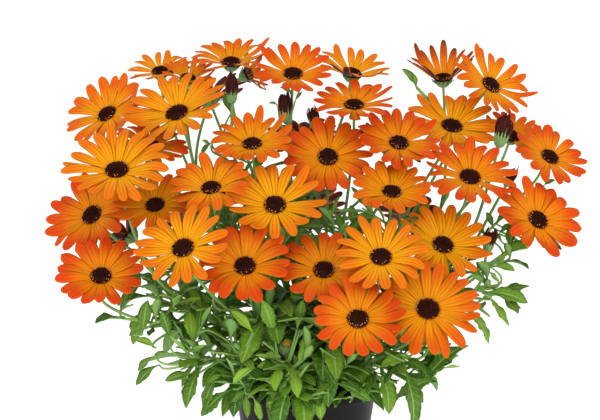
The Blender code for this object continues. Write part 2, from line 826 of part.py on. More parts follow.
def find_stalk(garden, stems, name, seat, way):
    """The first stalk that clears what stands, or the one that crosses least."""
    rng = random.Random(sum(map(ord, name)))
    best = None
    for stem, root in stalk_starts(stems, seat, rng.uniform(0, 0.8)):
        for neck_length, bow in bows(root.centre, seat):
            path = stalk_path(root, seat, way, neck_length, bow)
            radii = [STALK_RADIUS + CLEAR] * (len(path) - 2) + [STALK_RADIUS / 2]
            crossed = garden.crossings(tube(path[1:], radii, 4))
            cost = crossed + 5 * (min(p.z for p in path[1:]) < POT_HEIGHT)
            if best is None or cost < best.cost:
                best = Fit(cost + 0.5, stem, root, path)
            if not cost:
                start = [stem.shape.points[n] for n in root.corners]
                shape, ring, roots = stalk_shape(start, path)
                if not garden.pierced(shape, roots):
                    return Fit(0, stem, root, path)
    return best


def add_knob(shape, ring, path):
    """A young bud on the end of a stalk: rings of six over the stalk's last ring of three."""
    way = (path[-1] - path[-2]).normalized()
    point, across, third = list(frames_along(path))[-1]
    rows = []
    for step, radius in GREEN_KNOB:
        point = point + way * step
        rows.append(shape.add(*ring_points((point, across, third), radius, KNOB_SIDES, -1)))
    gaps = [(shape.points[n] - shape.points[ring[0]]).length for n in rows[0]]
    shift = gaps.index(min(gaps))
    rows = [row[shift:] + row[:shift] for row in rows]
    for i in range(3):
        a, b = ring[i], ring[(i + 1) % 3]
        c, d, e = (rows[0][(2 * i + n) % KNOB_SIDES] for n in range(3))
        shape.faces += [(a, d, c), (a, b, d), (b, e, d)]
    for low, high in zip(rows, rows[1:]):
        shape.band(low, high)
    shape.faces.append(tuple(rows[-1]))


def grow_stalk(garden, fit, with_knob=False):
    """Joins a stalk to its stem. Returns the roots on it."""
    start = [fit.stem.shape.points[n] for n in fit.root.corners]
    shape, ring, roots = stalk_shape(start, fit.path)
    if with_knob:
        add_knob(shape, ring, fit.path)
    else:
        shape.faces.append(tuple(ring))
    garden.put(shape, roots)
    index = fit.stem.grow(fit.root, shape)
    grown = [Root(tuple(index[n] for n in r.corners), *r[1:]) for r in roots]
    fit.stem.stalk_roots += grown
    return grown


def bent_clear(garden, trial, frame):
    """The first bend at which a ray petal clears what stands, or None."""
    for bend in BENDS:
        if not garden.crossings(trial(bend).moved(frame)):
            return bend
    return None


def set_head(garden, stems, head, finish):
    """Sets a bloom at the first level that clears what stands, with its stalk and its rays bent."""
    name = f"bloom_{head.index + 1:02d}"
    rng = random.Random(1000 + head.index)
    roll = rng.uniform(0, math.pi)
    radius = DISC_RADIUS * (0.4 + 0.6 * head.span / USUAL_SPAN)
    length = head.span / 2 - radius
    widest = radius + RAY_SHAPE[0][0] * length * math.cos(math.radians(head.cup))
    width = RAY_CROWDING * 2 * math.pi * widest / RAYS
    draws = [ray_draws(rng, head.cup) for _ in range(RAYS)]

    def trial(i, bend):
        return ray_trial(i, RAYS, radius, length, width, draws[i], bend)

    best = None
    for place in head.levels:
        frame = blade_frame(place, head.way, roll)
        core = head_core(RAYS, radius + CLEAR, DISC_HEIGHT, head.index)[0].moved(frame)
        crossed = [bool(garden.crossings(trial(i, 0).moved(frame))) for i in range(RAYS)]
        cost = sum(crossed) + 20 * garden.crossings(core)
        if best and cost >= best[0]:
            continue
        fit = find_stalk(garden, stems, name, place - head.way * (CUP_DEPTH + SEAT_GAP), head.way)
        cost += 20 * fit.cost
        if best is None or cost < best[0]:
            best = (cost, frame, fit)
        if not cost:
            break
    cost, frame, fit = best
    roots = grow_stalk(garden, fit)
    bends = [bent_clear(garden, partial(trial, i), frame) for i in range(RAYS)]
    shape = flower_head(RAYS, radius, length, width, DISC_HEIGHT, head.index, draws, bends)
    garden.put(shape.moved(frame))
    mesh_object(name, shape, finish)
    return roots


def set_bud(garden, stems, index, bud, finish):
    """A shut head: slim rays standing up round the disc."""
    name = f"dark_bud_{index + 1}"
    rng = random.Random(2000 + index)
    way = facing(bud.lean, bud.side)
    best = None
    for level in BUD_LEVELS:
        depth = surface_depth(bud.px, bud.py) + BUD_BACK + (bud.level + level) * STEP_BACK
        place = photo_place(bud.px, bud.py, depth)
        trial = tube([place - way * 8 * MM, place + way * bud.length * MM], [6 * MM] * 2, 6)
        fit = find_stalk(garden, stems, name, place - way * (CUP_DEPTH + SEAT_GAP), way)
        cost = garden.crossings(trial) + fit.cost
        if best is None or cost < best[0]:
            best = (cost, place, fit)
        if not cost:
            break
    cost, place, fit = best
    draws = [(rng.uniform(87, 92), 0, rng.uniform(0.8, 1.1), 0) for _ in range(BUD_RAYS)]
    sizes = (BUD_DISC, bud.length * MM, BUD_RAY_WIDTH, BUD_DISC)
    shape = flower_head(BUD_RAYS, *sizes, index, draws, [0] * BUD_RAYS)
    garden.put(shape.moved(blade_frame(place, way, 0)))
    mesh_object(name, shape, finish)
    return grow_stalk(garden, fit)


def set_green_bud(garden, stems, index, bud):
    """A young green bud, which is one piece with its stalk."""
    way = facing(KNOB_LEAN, 0)
    reach = way * sum(step for step, radius in GREEN_KNOB) / 2
    for level in LEVELS:
        place = photo_place(bud.px, bud.py, bud.depth + level * STEP_BACK / 2)
        knob = tube([place - reach, place + reach], [GREEN_KNOB[1][1] + CLEAR] * 2, KNOB_SIDES)
        fit = find_stalk(garden, stems, f"green_bud_{index + 1}", place - reach, way)
        if not fit.cost and not garden.crossings(knob):
            return grow_stalk(garden, fit, with_knob=True)
    return []


def set_leaf(garden, stem, root, roots, rng, length, outline):
    """Grows the first turn of a leaf that clears what stands. Says whether there was one."""
    ahead = (root.out + root.along * 0.5 + Vector((0, 0, 0.3))).normalized()
    bearing = math.degrees(math.atan2(ahead.y, ahead.x)) + rng.uniform(-12, 12)
    pitch = min(math.degrees(math.asin(ahead.z)), 62) + rng.uniform(-8, 8)
    droop = rng.uniform(25, 70)
    roll = rng.uniform(-22, 22)
    start = [stem.shape.points[n] for n in root.corners]
    for tilt, swing in product(TILTS, SWINGS):
        pose = LeafPose(root.centre, bearing + swing, pitch + tilt, droop, roll, length, outline)
        if garden.crossings(leaf_trial(pose)):
            continue
        shape = leaf_shape(start, pose)
        if not garden.pierced(shape):
            garden.put(shape)
            roots.remove(root)
            stem.shape.graft(shape, root.corners)
            return True
    return False


def set_leaves(garden, stem, seed):
    """Leaves from the free roots of a stem, in a drawn order."""
    rng = random.Random(seed)
    wanted = STEM_LEAVES
    spare = list(stem.roots)
    rng.shuffle(spare)
    for root in spare:
        length = rng.uniform(*LEAF_LENGTH)
        if wanted:
            wanted -= set_leaf(garden, stem, root, stem.roots, rng, length, BIG_LEAF)


def set_stalk_leaves(garden, stem, roots, seed):
    """Leaves from a stalk's node, the best lit first."""
    rng = random.Random(seed)
    wanted = STALK_LEAVES
    for root in sorted(roots, key=lambda r: -r.out.z):
        length = rng.uniform(*STALK_LEAF_LENGTH)
        if wanted:
            wanted -= set_leaf(garden, stem, root, stem.stalk_roots, rng, length, SMALL_LEAF)


def main():
    for old in list(bpy.data.objects):
        bpy.data.objects.remove(old)
    charcoal = material("charcoal_plastic", (0.045, 0.043, 0.046), 0.55)
    earth = material("potting_soil", (0.03, 0.018, 0.01), 0.95)
    green = material("leaf_green", (0.08, 0.2, 0.03), 0.6)
    orange = material("ray_orange", (0.85, 0.18, 0.01), 0.5)
    plum = material("bud_plum", (0.07, 0.012, 0.014), 0.6)

    garden = Garden()
    stems = [Stem(values) for values in LEAFY_STEMS]
    pot = make_pot(charcoal)
    soil = make_soil(earth, [stem.path[0] for stem in stems])
    for standing in (pot, soil):
        shape = Shape()
        shape.points = [v.co.copy() for v in standing.data.vertices]
        shape.faces = [tuple(p.vertices) for p in standing.data.polygons]
        garden.put(shape)
    for stem in stems:
        garden.put(stem.shape, stem.roots)

    nodes = []
    for head in all_heads():
        nodes.append(set_head(garden, stems, head, orange))
    for i, bud in enumerate(DARK_BUDS):
        nodes.append(set_bud(garden, stems, i, bud, plum))
    for i, bud in enumerate(GREEN_BUDS):
        nodes.append(set_green_bud(garden, stems, i, bud))
    for i, stem in enumerate(stems):
        set_leaves(garden, stem, 300 + i)
    for i, roots in enumerate(filter(None, nodes)):
        stem = next(s for s in stems if roots[0] in s.stalk_roots)
        set_stalk_leaves(garden, stem, roots, 400 + i)
    for i, stem in enumerate(stems):
        stem.close()
        mesh_object(f"leafy_stem_{i + 1:02d}", stem.shape, green)


main()
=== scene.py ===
import math
import random
from collections import namedtuple

import bmesh
import bpy
from mathutils import Matrix, Vector
from mathutils.bvhtree import BVHTree


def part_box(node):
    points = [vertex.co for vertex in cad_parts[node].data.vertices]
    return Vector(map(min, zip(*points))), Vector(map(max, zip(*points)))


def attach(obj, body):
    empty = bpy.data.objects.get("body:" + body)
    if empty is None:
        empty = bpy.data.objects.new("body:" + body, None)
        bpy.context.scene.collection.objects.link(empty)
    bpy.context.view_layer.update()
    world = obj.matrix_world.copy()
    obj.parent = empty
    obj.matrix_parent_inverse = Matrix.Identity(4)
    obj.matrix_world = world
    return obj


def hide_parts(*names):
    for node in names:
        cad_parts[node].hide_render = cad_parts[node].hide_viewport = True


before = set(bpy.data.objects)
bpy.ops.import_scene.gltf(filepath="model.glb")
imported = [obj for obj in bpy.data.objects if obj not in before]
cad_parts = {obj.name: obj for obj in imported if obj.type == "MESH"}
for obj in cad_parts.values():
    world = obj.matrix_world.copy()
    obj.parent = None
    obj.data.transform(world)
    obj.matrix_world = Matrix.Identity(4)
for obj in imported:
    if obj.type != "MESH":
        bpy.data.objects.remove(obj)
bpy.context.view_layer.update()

# The nursery pot. Charcoal polypropylene, injection moulded in one shot, with a plain band round its
# rim that stiffens the thin wall. Satin where it left the mould, dusted with dry soil near the rim.
MM = 0.001
POT_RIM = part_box("pot")[1]
POT_FOOT_RADIUS = 37 * MM
POT_WALL = 1.6 * MM
POT_FLOOR = 2.2 * MM
POT_MIDDLE = 2 * MM
RIM_BAND = 8 * MM
RIM_PROUD = 2.6 * MM
RIM_STEP = 1.2 * MM
EDGE_ROUND = 0.7 * MM
POT_TURNS = 96
DRAINS = 4
DRAIN_RING = 23 * MM
DRAIN_RADIUS = 4 * MM
DRAIN_TURNS = 24
DUST_DEPTH = 18 * MM
CHARCOAL = "#121213"
CHARCOAL_WORN = "#1a1a1b"
SOIL_DUST = "#241f1b"


def linear(code):
    """A colour in Blender's linear values from an sRGB hex value."""
    parts = [int(code[n:n + 2], 16) / 255 for n in (1, 3, 5)]
    return (*(c / 12.92 if c <= 0.04045 else ((c + 0.055) / 1.055) ** 2.4 for c in parts), 1)


def add_node(tree, kind, inputs=None, **settings):
    """A node with its settings. Each input is a value, or the socket that feeds it."""
    node = tree.nodes.new(kind)
    for name, value in settings.items():
        setattr(node, name, value)
    for key, value in (inputs or {}).items():
        if isinstance(value, bpy.types.NodeSocket):
            tree.links.new(value, node.inputs[key])
        else:
            node.inputs[key].default_value = value
    return node


def new_material(name, **values):
    """A material and its tree, with the given values on its Principled BSDF's own sockets."""
    made = bpy.data.materials.new(name)
    made.use_nodes = True
    shader = made.node_tree.nodes["Principled BSDF"]
    for key, value in values.items():
        shader.inputs[key.replace("_", " ")].default_value = value
    return made, made.node_tree, shader


def new_piece(name, mesh, material, slot, *replaced):
    """An object of the mesh that rides with the plant and stands for the CAD nodes given."""
    piece = bpy.data.objects.new(name, mesh)
    bpy.context.scene.collection.objects.link(piece)
    mesh.materials.clear()
    mesh.materials.append(material)
    mesh.shade_smooth()
    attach(piece, "root")
    if replaced:
        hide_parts(*replaced)
    return piece


def turned(profile, turns):
    """A mesh turned round +Z from (radius, height) points, closed over its first and last ring."""
    work = bmesh.new()
    rings = []
    for radius, height in profile:
        ring = []
        for k in range(turns):
            turn = 2 * math.pi * k / turns
            ring.append(work.verts.new((math.cos(turn) * radius, math.sin(turn) * radius, height)))
        rings.append(ring)
    for low, high in zip(rings, rings[1:]):
        for k in range(turns):
            j = (k + 1) % turns
            work.faces.new((low[k], low[j], high[j], high[k]))
    work.faces.new(rings[0])
    work.faces.new(rings[-1])
    bmesh.ops.recalc_face_normals(work, faces=work.faces)
    mesh = bpy.data.meshes.new("turned")
    work.to_mesh(mesh)
    work.free()
    return mesh


def rounded(corner, before, after, radius, steps=3):
    """Points of a small round in place of a profile's corner."""
    corner, before, after = Vector(corner), Vector(before), Vector(after)
    start = corner + (before - corner).normalized() * radius
    end = corner + (after - corner).normalized() * radius
    shares = [k / steps for k in range(steps + 1)]
    return [tuple(start.lerp(corner, t).lerp(corner.lerp(end, t), t)) for t in shares]


def pot_radius(height):
    """The outer radius of the pot's tapered wall."""
    top = POT_RIM.x - RIM_PROUD
    return POT_FOOT_RADIUS + (top - POT_FOOT_RADIUS) * height / (POT_RIM.z - RIM_BAND)


def pot_profile():
    """The pot's section from the middle of its base, out, up, over the rim and down inside."""
    band = POT_RIM.z - RIM_BAND
    corners = [
        (POT_MIDDLE, 0),
        (POT_FOOT_RADIUS, 0),
        (pot_radius(band), band),
        (POT_RIM.x, band + RIM_STEP),
        (POT_RIM.x, POT_RIM.z),
        (POT_RIM.x - POT_WALL, POT_RIM.z),
        (pot_radius(band) - POT_WALL, band),
        (pot_radius(POT_FLOOR) - POT_WALL, POT_FLOOR),
        (POT_MIDDLE, POT_FLOOR),
    ]
    outline = [corners[0]]
    for before, corner, after in zip(corners, corners[1:], corners[2:]):
        outline += rounded(corner, before, after, EDGE_ROUND)
    return outline + [corners[-1]]


def applied(piece):
    """The object's mesh as its modifiers leave it, which then replaces its own."""
    bpy.context.view_layer.update()
    graph = bpy.context.evaluated_depsgraph_get()
    mesh = bpy.data.meshes.new_from_object(piece.evaluated_get(graph))
    piece.modifiers.clear()
    piece.data = mesh
    return mesh


def drilled_pot():
    """The turned pot with its drain holes cut through the floor."""
    pot = bpy.data.objects.new("pot_blank", turned(pot_profile(), POT_TURNS))
    bpy.context.scene.collection.objects.link(pot)
    drills = []
    for k in range(DRAINS):
        turn = 2 * math.pi / DRAINS * (k + 0.5)
        middle = Vector((math.cos(turn), math.sin(turn), 0)) * DRAIN_RING
        drill = turned([(DRAIN_RADIUS, -POT_FLOOR), (DRAIN_RADIUS, 2 * POT_FLOOR)], DRAIN_TURNS)
        drill.transform(Matrix.Translation(middle))
        drills.append(bpy.data.objects.new(f"drill_{k}", drill))
        bpy.context.scene.collection.objects.link(drills[-1])
        hole = pot.modifiers.new("hole", "BOOLEAN")
        hole.object = drills[-1]
    mesh = applied(pot)
    for spare in drills + [pot]:
        bpy.data.objects.remove(spare)
    return mesh


def polypropylene():
    """Moulded polypropylene: mottled satin, paler where it has rubbed, with dust by the rim."""
    made, tree, shader = new_material("charcoal_polypropylene", Roughness=0.45, IOR=1.49,
                                      Specular_IOR_Level=0.1)
    place = add_node(tree, "ShaderNodeTexCoord").outputs["Object"]
    cloud = add_node(tree, "ShaderNodeTexNoise", {"Vector": place, "Scale": 60, "Detail": 5})
    grain = add_node(tree, "ShaderNodeTexNoise", {"Vector": place, "Scale": 2200, "Detail": 2})
    wear = add_node(tree, "ShaderNodeMix", {
        0: cloud.outputs["Fac"], 6: linear(CHARCOAL), 7: linear(CHARCOAL_WORN),
    }, data_type="RGBA")
    height = add_node(tree, "ShaderNodeSeparateXYZ", {"Vector": place}).outputs["Z"]
    near_rim = add_node(tree, "ShaderNodeMapRange", {
        "Value": height, "From Min": POT_RIM.z - DUST_DEPTH, "From Max": POT_RIM.z,
        "To Min": 0.0, "To Max": 0.5,
    }).outputs["Result"]
    dusty = add_node(tree, "ShaderNodeMath", {0: near_rim, 1: cloud.outputs["Fac"]},
                     operation="MULTIPLY").outputs[0]
    tint = add_node(tree, "ShaderNodeMix", {
        0: dusty, 6: wear.outputs[2], 7: linear(SOIL_DUST),
    }, data_type="RGBA").outputs[2]
    gloss = add_node(tree, "ShaderNodeMapRange", {
        "Value": cloud.outputs["Fac"], "To Min": 0.36, "To Max": 0.56,
    }).outputs["Result"]
    bump = add_node(tree, "ShaderNodeBump", {
        "Height": grain.outputs["Fac"], "Strength": 0.25, "Distance": 0.02 * MM,
    }).outputs["Normal"]
    tree.links.new(tint, shader.inputs["Base Color"])
    tree.links.new(gloss, shader.inputs["Roughness"])
    tree.links.new(bump, shader.inputs["Normal"])
    return made


new_piece("nursery_pot", drilled_pot(), polypropylene(), "charcoal_plastic", "pot")

# The potting soil. Peat with composted bark, filled in and watered so that it has settled into crumbs
# and a low mound round the stems. Crumbs are scattered over it by a node tree, with a fixed seed.
SOIL_TOP = 81 * MM
SOIL_CROWN = 4 * MM
SOIL_GAP = 0.3 * MM
SOIL_MIDDLE = 1 * MM
SOIL_RINGS, SOIL_TURNS = 18, 72
SOIL_SMOOTH_EDGE = 0.5 * MM
SOIL_LUMPS = (-0.7, 0.5)  # mm below and above the mound
CRUMB = 1.5 * MM
FULL_TURN = 6.3  # a little over a whole turn, in radians
CRUMBS_PER_M2 = 260000.0
CRUMB_LEAST, CRUMB_MOST = (0.25, 0.25, 0.2), (1.0, 0.8, 0.6)  # of a crumb's size, each way
PEAT, PEAT_DRY, BARK_FLECK = "#17100c", "#33251b", "#5a4028"


def soil_mesh():
    """A block that fills the pot, with a lumpy mounded top of many small faces."""
    rng = random.Random(11)
    foot = POT_FLOOR + SOIL_GAP
    profile = [(SOIL_MIDDLE, foot), (pot_radius(foot) - POT_WALL - SOIL_GAP, foot)]
    edge = pot_radius(SOIL_TOP) - POT_WALL - SOIL_GAP
    for k in range(SOIL_RINGS):
        share = 1 - k / SOIL_RINGS
        profile.append((edge * share, SOIL_TOP + SOIL_CROWN * (1 - share * share)))
    mesh = turned(profile, SOIL_TURNS)
    for corner in mesh.vertices:
        if corner.co.z >= SOIL_TOP and corner.co.xy.length < edge - SOIL_SMOOTH_EDGE:
            corner.co.z += rng.uniform(*SOIL_LUMPS) * MM
    return mesh


def new_tree(name, kinds):
    """A tree of geometry nodes with a named input of each kind, and the sockets they come in by."""
    tree = bpy.data.node_groups.new(name, "GeometryNodeTree")
    for key, kind in {"Geometry": "Geometry", **kinds, "Material": "Material"}.items():
        tree.interface.new_socket(key, in_out="INPUT", socket_type="NodeSocket" + kind)
    tree.interface.new_socket("Geometry", in_out="OUTPUT", socket_type="NodeSocketGeometry")
    return tree, add_node(tree, "NodeGroupInput").outputs


def end_tree(tree, shape, material):
    """Ends a tree with a shape made real and given its material."""
    real = add_node(tree, "GeometryNodeRealizeInstances", {0: shape})
    done = add_node(tree, "GeometryNodeSetMaterial", {"Geometry": real.outputs[0], "Material": material})
    add_node(tree, "NodeGroupOutput", {0: done.outputs[0]})
    return tree


def crumb_tree():
    """Geometry nodes that strew crumbs over the faces that look up."""
    tree, given = new_tree("strewn crumbs", {"Crumb Size": "Float", "Crumbs per m2": "Float"})
    normal = add_node(tree, "GeometryNodeInputNormal").outputs[0]
    rise = add_node(tree, "ShaderNodeSeparateXYZ", {0: normal}).outputs["Z"]
    above = add_node(tree, "GeometryNodeInputPosition").outputs[0]
    height = add_node(tree, "ShaderNodeSeparateXYZ", {0: above}).outputs["Z"]
    upward = add_node(tree, "FunctionNodeCompare", {0: rise, 1: 0.5}).outputs[0]
    on_top = add_node(tree, "FunctionNodeCompare", {0: height, 1: SOIL_TOP - 1 * MM}).outputs[0]
    both = add_node(tree, "FunctionNodeBooleanMath", {0: upward, 1: on_top}).outputs[0]
    spots = add_node(tree, "GeometryNodeDistributePointsOnFaces", {
        "Mesh": given["Geometry"], "Selection": both, "Density": given["Crumbs per m2"], "Seed": 4,
    })
    lump = add_node(tree, "GeometryNodeMeshIcoSphere", {"Radius": given["Crumb Size"]})
    size = add_node(tree, "FunctionNodeRandomValue", {
        0: CRUMB_LEAST, 1: CRUMB_MOST, "Seed": 7,
    }, data_type="FLOAT_VECTOR")
    turn = add_node(tree, "FunctionNodeRandomValue", {
        1: (FULL_TURN, FULL_TURN, FULL_TURN), "Seed": 9,
    }, data_type="FLOAT_VECTOR")
    strewn = add_node(tree, "GeometryNodeInstanceOnPoints", {
        "Points": spots.outputs["Points"], "Instance": lump.outputs["Mesh"],
        "Rotation": turn.outputs[0], "Scale": size.outputs[0],
    })
    joined = add_node(tree, "GeometryNodeJoinGeometry").inputs[0]
    tree.links.new(strewn.outputs[0], joined)
    tree.links.new(given["Geometry"], joined)
    return end_tree(tree, joined.node.outputs[0], given["Material"])


def grown(mesh, tree, **values):
    """The mesh that a tree makes of a mesh, with its named inputs set."""
    holder = bpy.data.objects.new("holder", mesh)
    bpy.context.scene.collection.objects.link(holder)
    nodes = holder.modifiers.new("nodes", "NODES")
    nodes.node_group = tree
    for item in tree.interface.items_tree:
        if item.in_out == "INPUT" and item.name.replace(" ", "_") in values:
            nodes[item.identifier] = values[item.name.replace(" ", "_")]
    made = applied(holder)
    bpy.data.objects.remove(holder)
    return made


def potting_mix():
    """Damp peat: nearly black, dull, with drier crumbs and flecks of bark."""
    made, tree, shader = new_material("peat_potting_mix", Roughness=0.95, Specular_IOR_Level=0.25)
    place = add_node(tree, "ShaderNodeTexCoord").outputs["Object"]
    clump = add_node(tree, "ShaderNodeTexNoise", {"Vector": place, "Scale": 140, "Detail": 6})
    fleck = add_node(tree, "ShaderNodeTexVoronoi", {"Vector": place, "Scale": 420})
    dry = add_node(tree, "ShaderNodeMix", {
        0: clump.outputs["Fac"], 6: linear(PEAT), 7: linear(PEAT_DRY),
    }, data_type="RGBA")
    bark = add_node(tree, "ShaderNodeMath", {0: fleck.outputs["Color"], 1: 0.86},
                    operation="GREATER_THAN")
    tint = add_node(tree, "ShaderNodeMix", {
        0: bark.outputs[0], 6: dry.outputs[2], 7: linear(BARK_FLECK),
    }, data_type="RGBA")
    bump = add_node(tree, "ShaderNodeBump", {
        "Height": clump.outputs["Fac"], "Strength": 0.8, "Distance": 0.6 * MM,
    })
    tree.links.new(tint.outputs[2], shader.inputs["Base Color"])
    tree.links.new(bump.outputs["Normal"], shader.inputs["Normal"])
    return made


peat = potting_mix()
soil = grown(soil_mesh(), crumb_tree(), Crumb_Size=CRUMB, Crumbs_per_m2=CRUMBS_PER_M2, Material=peat)
new_piece("potting_mix", soil, peat, "potting_soil", "potting_soil")

# The shoots: leafy stems, and the flower stalks that branch from them. Soft green, ribbed and finely
# hairy, they grow up through the soil and lean out. Each follows the rings of its CAD solid, from the
# stem's foot to its tip and from each flower head's seat back down to where its stalk leaves the stem.
MERGE = 0.005 * MM
SEAT_GAP = 0.3 * MM
CUP_DEPTH = 7 * MM
HEAD_CORNERS, RAY_CORNERS = 5, 8  # of a CAD head: its own, and those that each ray adds
CUP_SIDES, STALK_SIDES, STEM_SIDES, LEAF_SIDES = 4, 3, 5, 3  # of the CAD's plain forms
LEAF_RINGS = 4  # the most that a CAD leaf has, its root among them
STALK_RINGS = 6
NEAR_SEAT = 2 * MM
LEAF_POINT = 5 * MM
SHOOT_STEP = 2.5 * MM
SHOOT_SIDES = 10
SHOOT_RIBS = 0.12  # of its radius
STEM_GIRTHS = (2.3 * MM, 1.3 * MM)
STALK_GIRTHS = (1.35 * MM, 1.0 * MM)
METRES_PER_PIXEL = 105 * MM / 148
PHOTO_MIDDLE = Vector((300, 210))
RIM_MIDDLE = Vector((305.5, 378))
VIEW_RANGE = 1.35
VIEW_ELEVATION = math.radians(12)
GREEN_BUDS = ((248, 341, -62), (287, 349, -64), (394, 341, -58))  # pixel, and depth in mm
GREEN_BUD_STEPS = (0, 1, -1, 2, -2, 3, -3)
GREEN_BUD_STEP = 6.5 * MM
GREEN_BUD_HALF = 4 * MM
GREEN_BUD_REACH = 6 * MM
GREEN_BUD_LEAN = math.radians(60)
SHOOT_GREEN, SHOOT_PALE, SHOOT_RED = "#5f9433", "#a6c972", "#86683f"
Head = namedtuple("Head", "matrix radius height rays seat")
Ray = namedtuple("Ray", "bearing rows")
Shoot = namedtuple("Shoot", "line girths")
stem_names = sorted(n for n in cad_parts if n.startswith("leafy_stem"))
bloom_names = sorted(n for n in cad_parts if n.startswith("bloom"))
bud_names = sorted(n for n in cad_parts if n.startswith("dark_bud"))
right = Vector((1, 0, 0))
up = Vector((0, math.sin(VIEW_ELEVATION), math.cos(VIEW_ELEVATION)))
into = Vector((0, math.cos(VIEW_ELEVATION), -math.sin(VIEW_ELEVATION)))
off_middle = (RIM_MIDDLE - PHOTO_MIDDLE) * METRES_PER_PIXEL
aim = Vector((0, 0, POT_RIM.z)) - right * off_middle.x + up * off_middle.y


def photo_place(px, py, depth):
    """The point seen at a pixel of the photograph whose Y is depth."""
    seen = (Vector((px, py)) - PHOTO_MIDDLE) * METRES_PER_PIXEL / VIEW_RANGE
    beyond = (depth - aim.y + seen.y * VIEW_RANGE * up.y) / (into.y - seen.y * up.y)
    far = VIEW_RANGE + beyond
    return aim + right * seen.x * far - up * seen.y * far + into * beyond


def skeleton(node):
    """A CAD node's corners, merged, and for each the set of those that it is joined to."""
    work = bmesh.new()
    work.from_mesh(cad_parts[node].data)
    bmesh.ops.remove_doubles(work, verts=work.verts, dist=MERGE)
    work.verts.index_update()
    points = [v.co.copy() for v in work.verts]
    near = {v.index: {e.other_vert(v).index for e in v.link_edges} for v in work.verts}
    work.free()
    return points, near


def joined_to(near, corners):
    """The corners that are joined to any of the given ones, apart from themselves."""
    return set().union(*(near[n] for n in corners)) - set(corners)


def centre(points, ring):
    """The middle of some corners."""
    return sum((points[n] for n in ring), Vector()) / len(ring)


def nearest(points, near, place, count):
    """The skeleton's corners that are nearest to a place."""
    return sorted(near, key=lambda n: (points[n] - place).length)[:count]


def rings_from(near, first, most):
    """Rings of corners, each joined to the one before, while they have as many sides as the first."""
    rings = [set(first)]
    seen = set(first)
    while len(rings) < most:
        after = joined_to(near, rings[-1]) - seen
        if len(after) != len(rings[0]):
            break
        rings.append(after)
        seen |= after
    return rings


def facing(place, way):
    """A frame at a place whose Z looks the given way."""
    return Matrix.Translation(place) @ way.to_track_quat("Z", "Y").to_matrix().to_4x4()


def drop(near, corners):
    """Takes corners out of a skeleton."""
    for n in corners:
        for other in near.pop(n):
            if other in near:
                near[other].discard(n)


def read_ray(close, far):
    """A CAD ray's widest place and tip and their widths, turned to lie along +X, and its bearing."""
    pairs = [(close[0], close[1]), (close[1], close[2]), (close[0], close[2])]
    left, other = max(pairs, key=lambda ends: (ends[1] - ends[0]).length)
    middle = (left + other) / 2
    bearing = math.atan2(middle.y, middle.x)
    back = Matrix.Rotation(-bearing, 3, "Z")
    wide, blunt = back @ (other - left), back @ (far[1] - far[0])
    wide *= -1 if wide.y > 0 else 1
    blunt *= -1 if blunt.dot(wide) < 0 else 1
    return Ray(bearing, [back @ middle, back @ ((far[0] + far[1]) / 2), wide, blunt])


def read_head(node):
    """A head's frame, disc and rays from its CAD solid. Its frame's Z is the way that it faces."""
    points, near = skeleton(node)
    count = math.ceil((len(near) - HEAD_CORNERS) / RAY_CORNERS)  # a ray with no clear way is a stub
    apex = next(n for n in near if len(near[n]) == len(joined_to(near, near[n])) - 1 == count)
    crown = near[apex]
    rim = joined_to(near, crown) - {apex}
    place = centre(points, rim)
    way = (points[apex] - place).normalized()
    matrix = facing(place, way)
    inward = matrix.inverted()
    foot = set(nearest(points, near, place - way * CUP_DEPTH, CUP_SIDES))
    core = {apex} | crown | rim | joined_to(near, foot) | foot
    rays = []
    left = set(near) - core
    while left:
        ray = {left.pop()}
        while joined_to(near, ray) & left:
            more = joined_to(near, ray) & left
            ray |= more
            left -= more
        close = [inward @ points[n] for n in ray if near[n] & core]
        rays.append(read_ray(close, [inward @ points[n] for n in ray if not near[n] & core]))
    rays.sort(key=lambda ray: ray.bearing)
    radius = max((points[n] - place).length for n in rim)
    seat = place - way * (CUP_DEPTH + SEAT_GAP)
    return Head(matrix, radius, (points[apex] - place).length, rays, seat)


def take_leaves(points, near):
    """Takes every leaf off a stem's skeleton: its root, its rings and its tip, as points."""
    found = []
    for tip, ring in near.items():
        if len(ring) == LEAF_SIDES and all(ring - {n} <= near[n] for n in ring):
            if (points[tip] - centre(points, ring)).length > LEAF_POINT:
                rings = [set(ring)]
                while len(after := joined_to(near, rings[-1]) - {tip}.union(*rings)) == LEAF_SIDES:
                    rings.append(after)
                    if len(rings) == LEAF_RINGS:
                        break
                found.append((tip, rings))
    for tip, rings in found:
        drop(near, {tip}.union(*rings[:-1]))
    return [[[points[n] for n in ring] for ring in rings[::-1]] + [points[tip]] for tip, rings in found]


def take_stalk(points, near, seat):
    """Takes the stalk that ends at seat off a skeleton and gives its line, or nothing."""
    end = nearest(points, near, seat, STALK_SIDES)
    if (points[end[-1]] - seat).length > NEAR_SEAT:
        return []
    rings = rings_from(near, end, STALK_RINGS)
    drop(near, set().union(*rings[:-1]))
    return [centre(points, ring) for ring in rings[::-1]]


def take_green_bud(points, near, seat, way):
    """Takes a young bud off a skeleton with its stalk, and gives the stalk's line, or nothing."""
    knob = {n for n in near if (points[n] - seat).length < 3 * GREEN_BUD_HALF}
    knob = {n for n in knob if (points[n] - seat).dot(way) > NEAR_SEAT / 4}
    end = nearest(points, near, seat, STALK_SIDES)
    if (points[end[-1]] - seat).length > NEAR_SEAT:
        return []
    drop(near, {n for n in knob if (points[n] - seat).cross(way).length < GREEN_BUD_REACH})
    return take_stalk(points, near, seat)


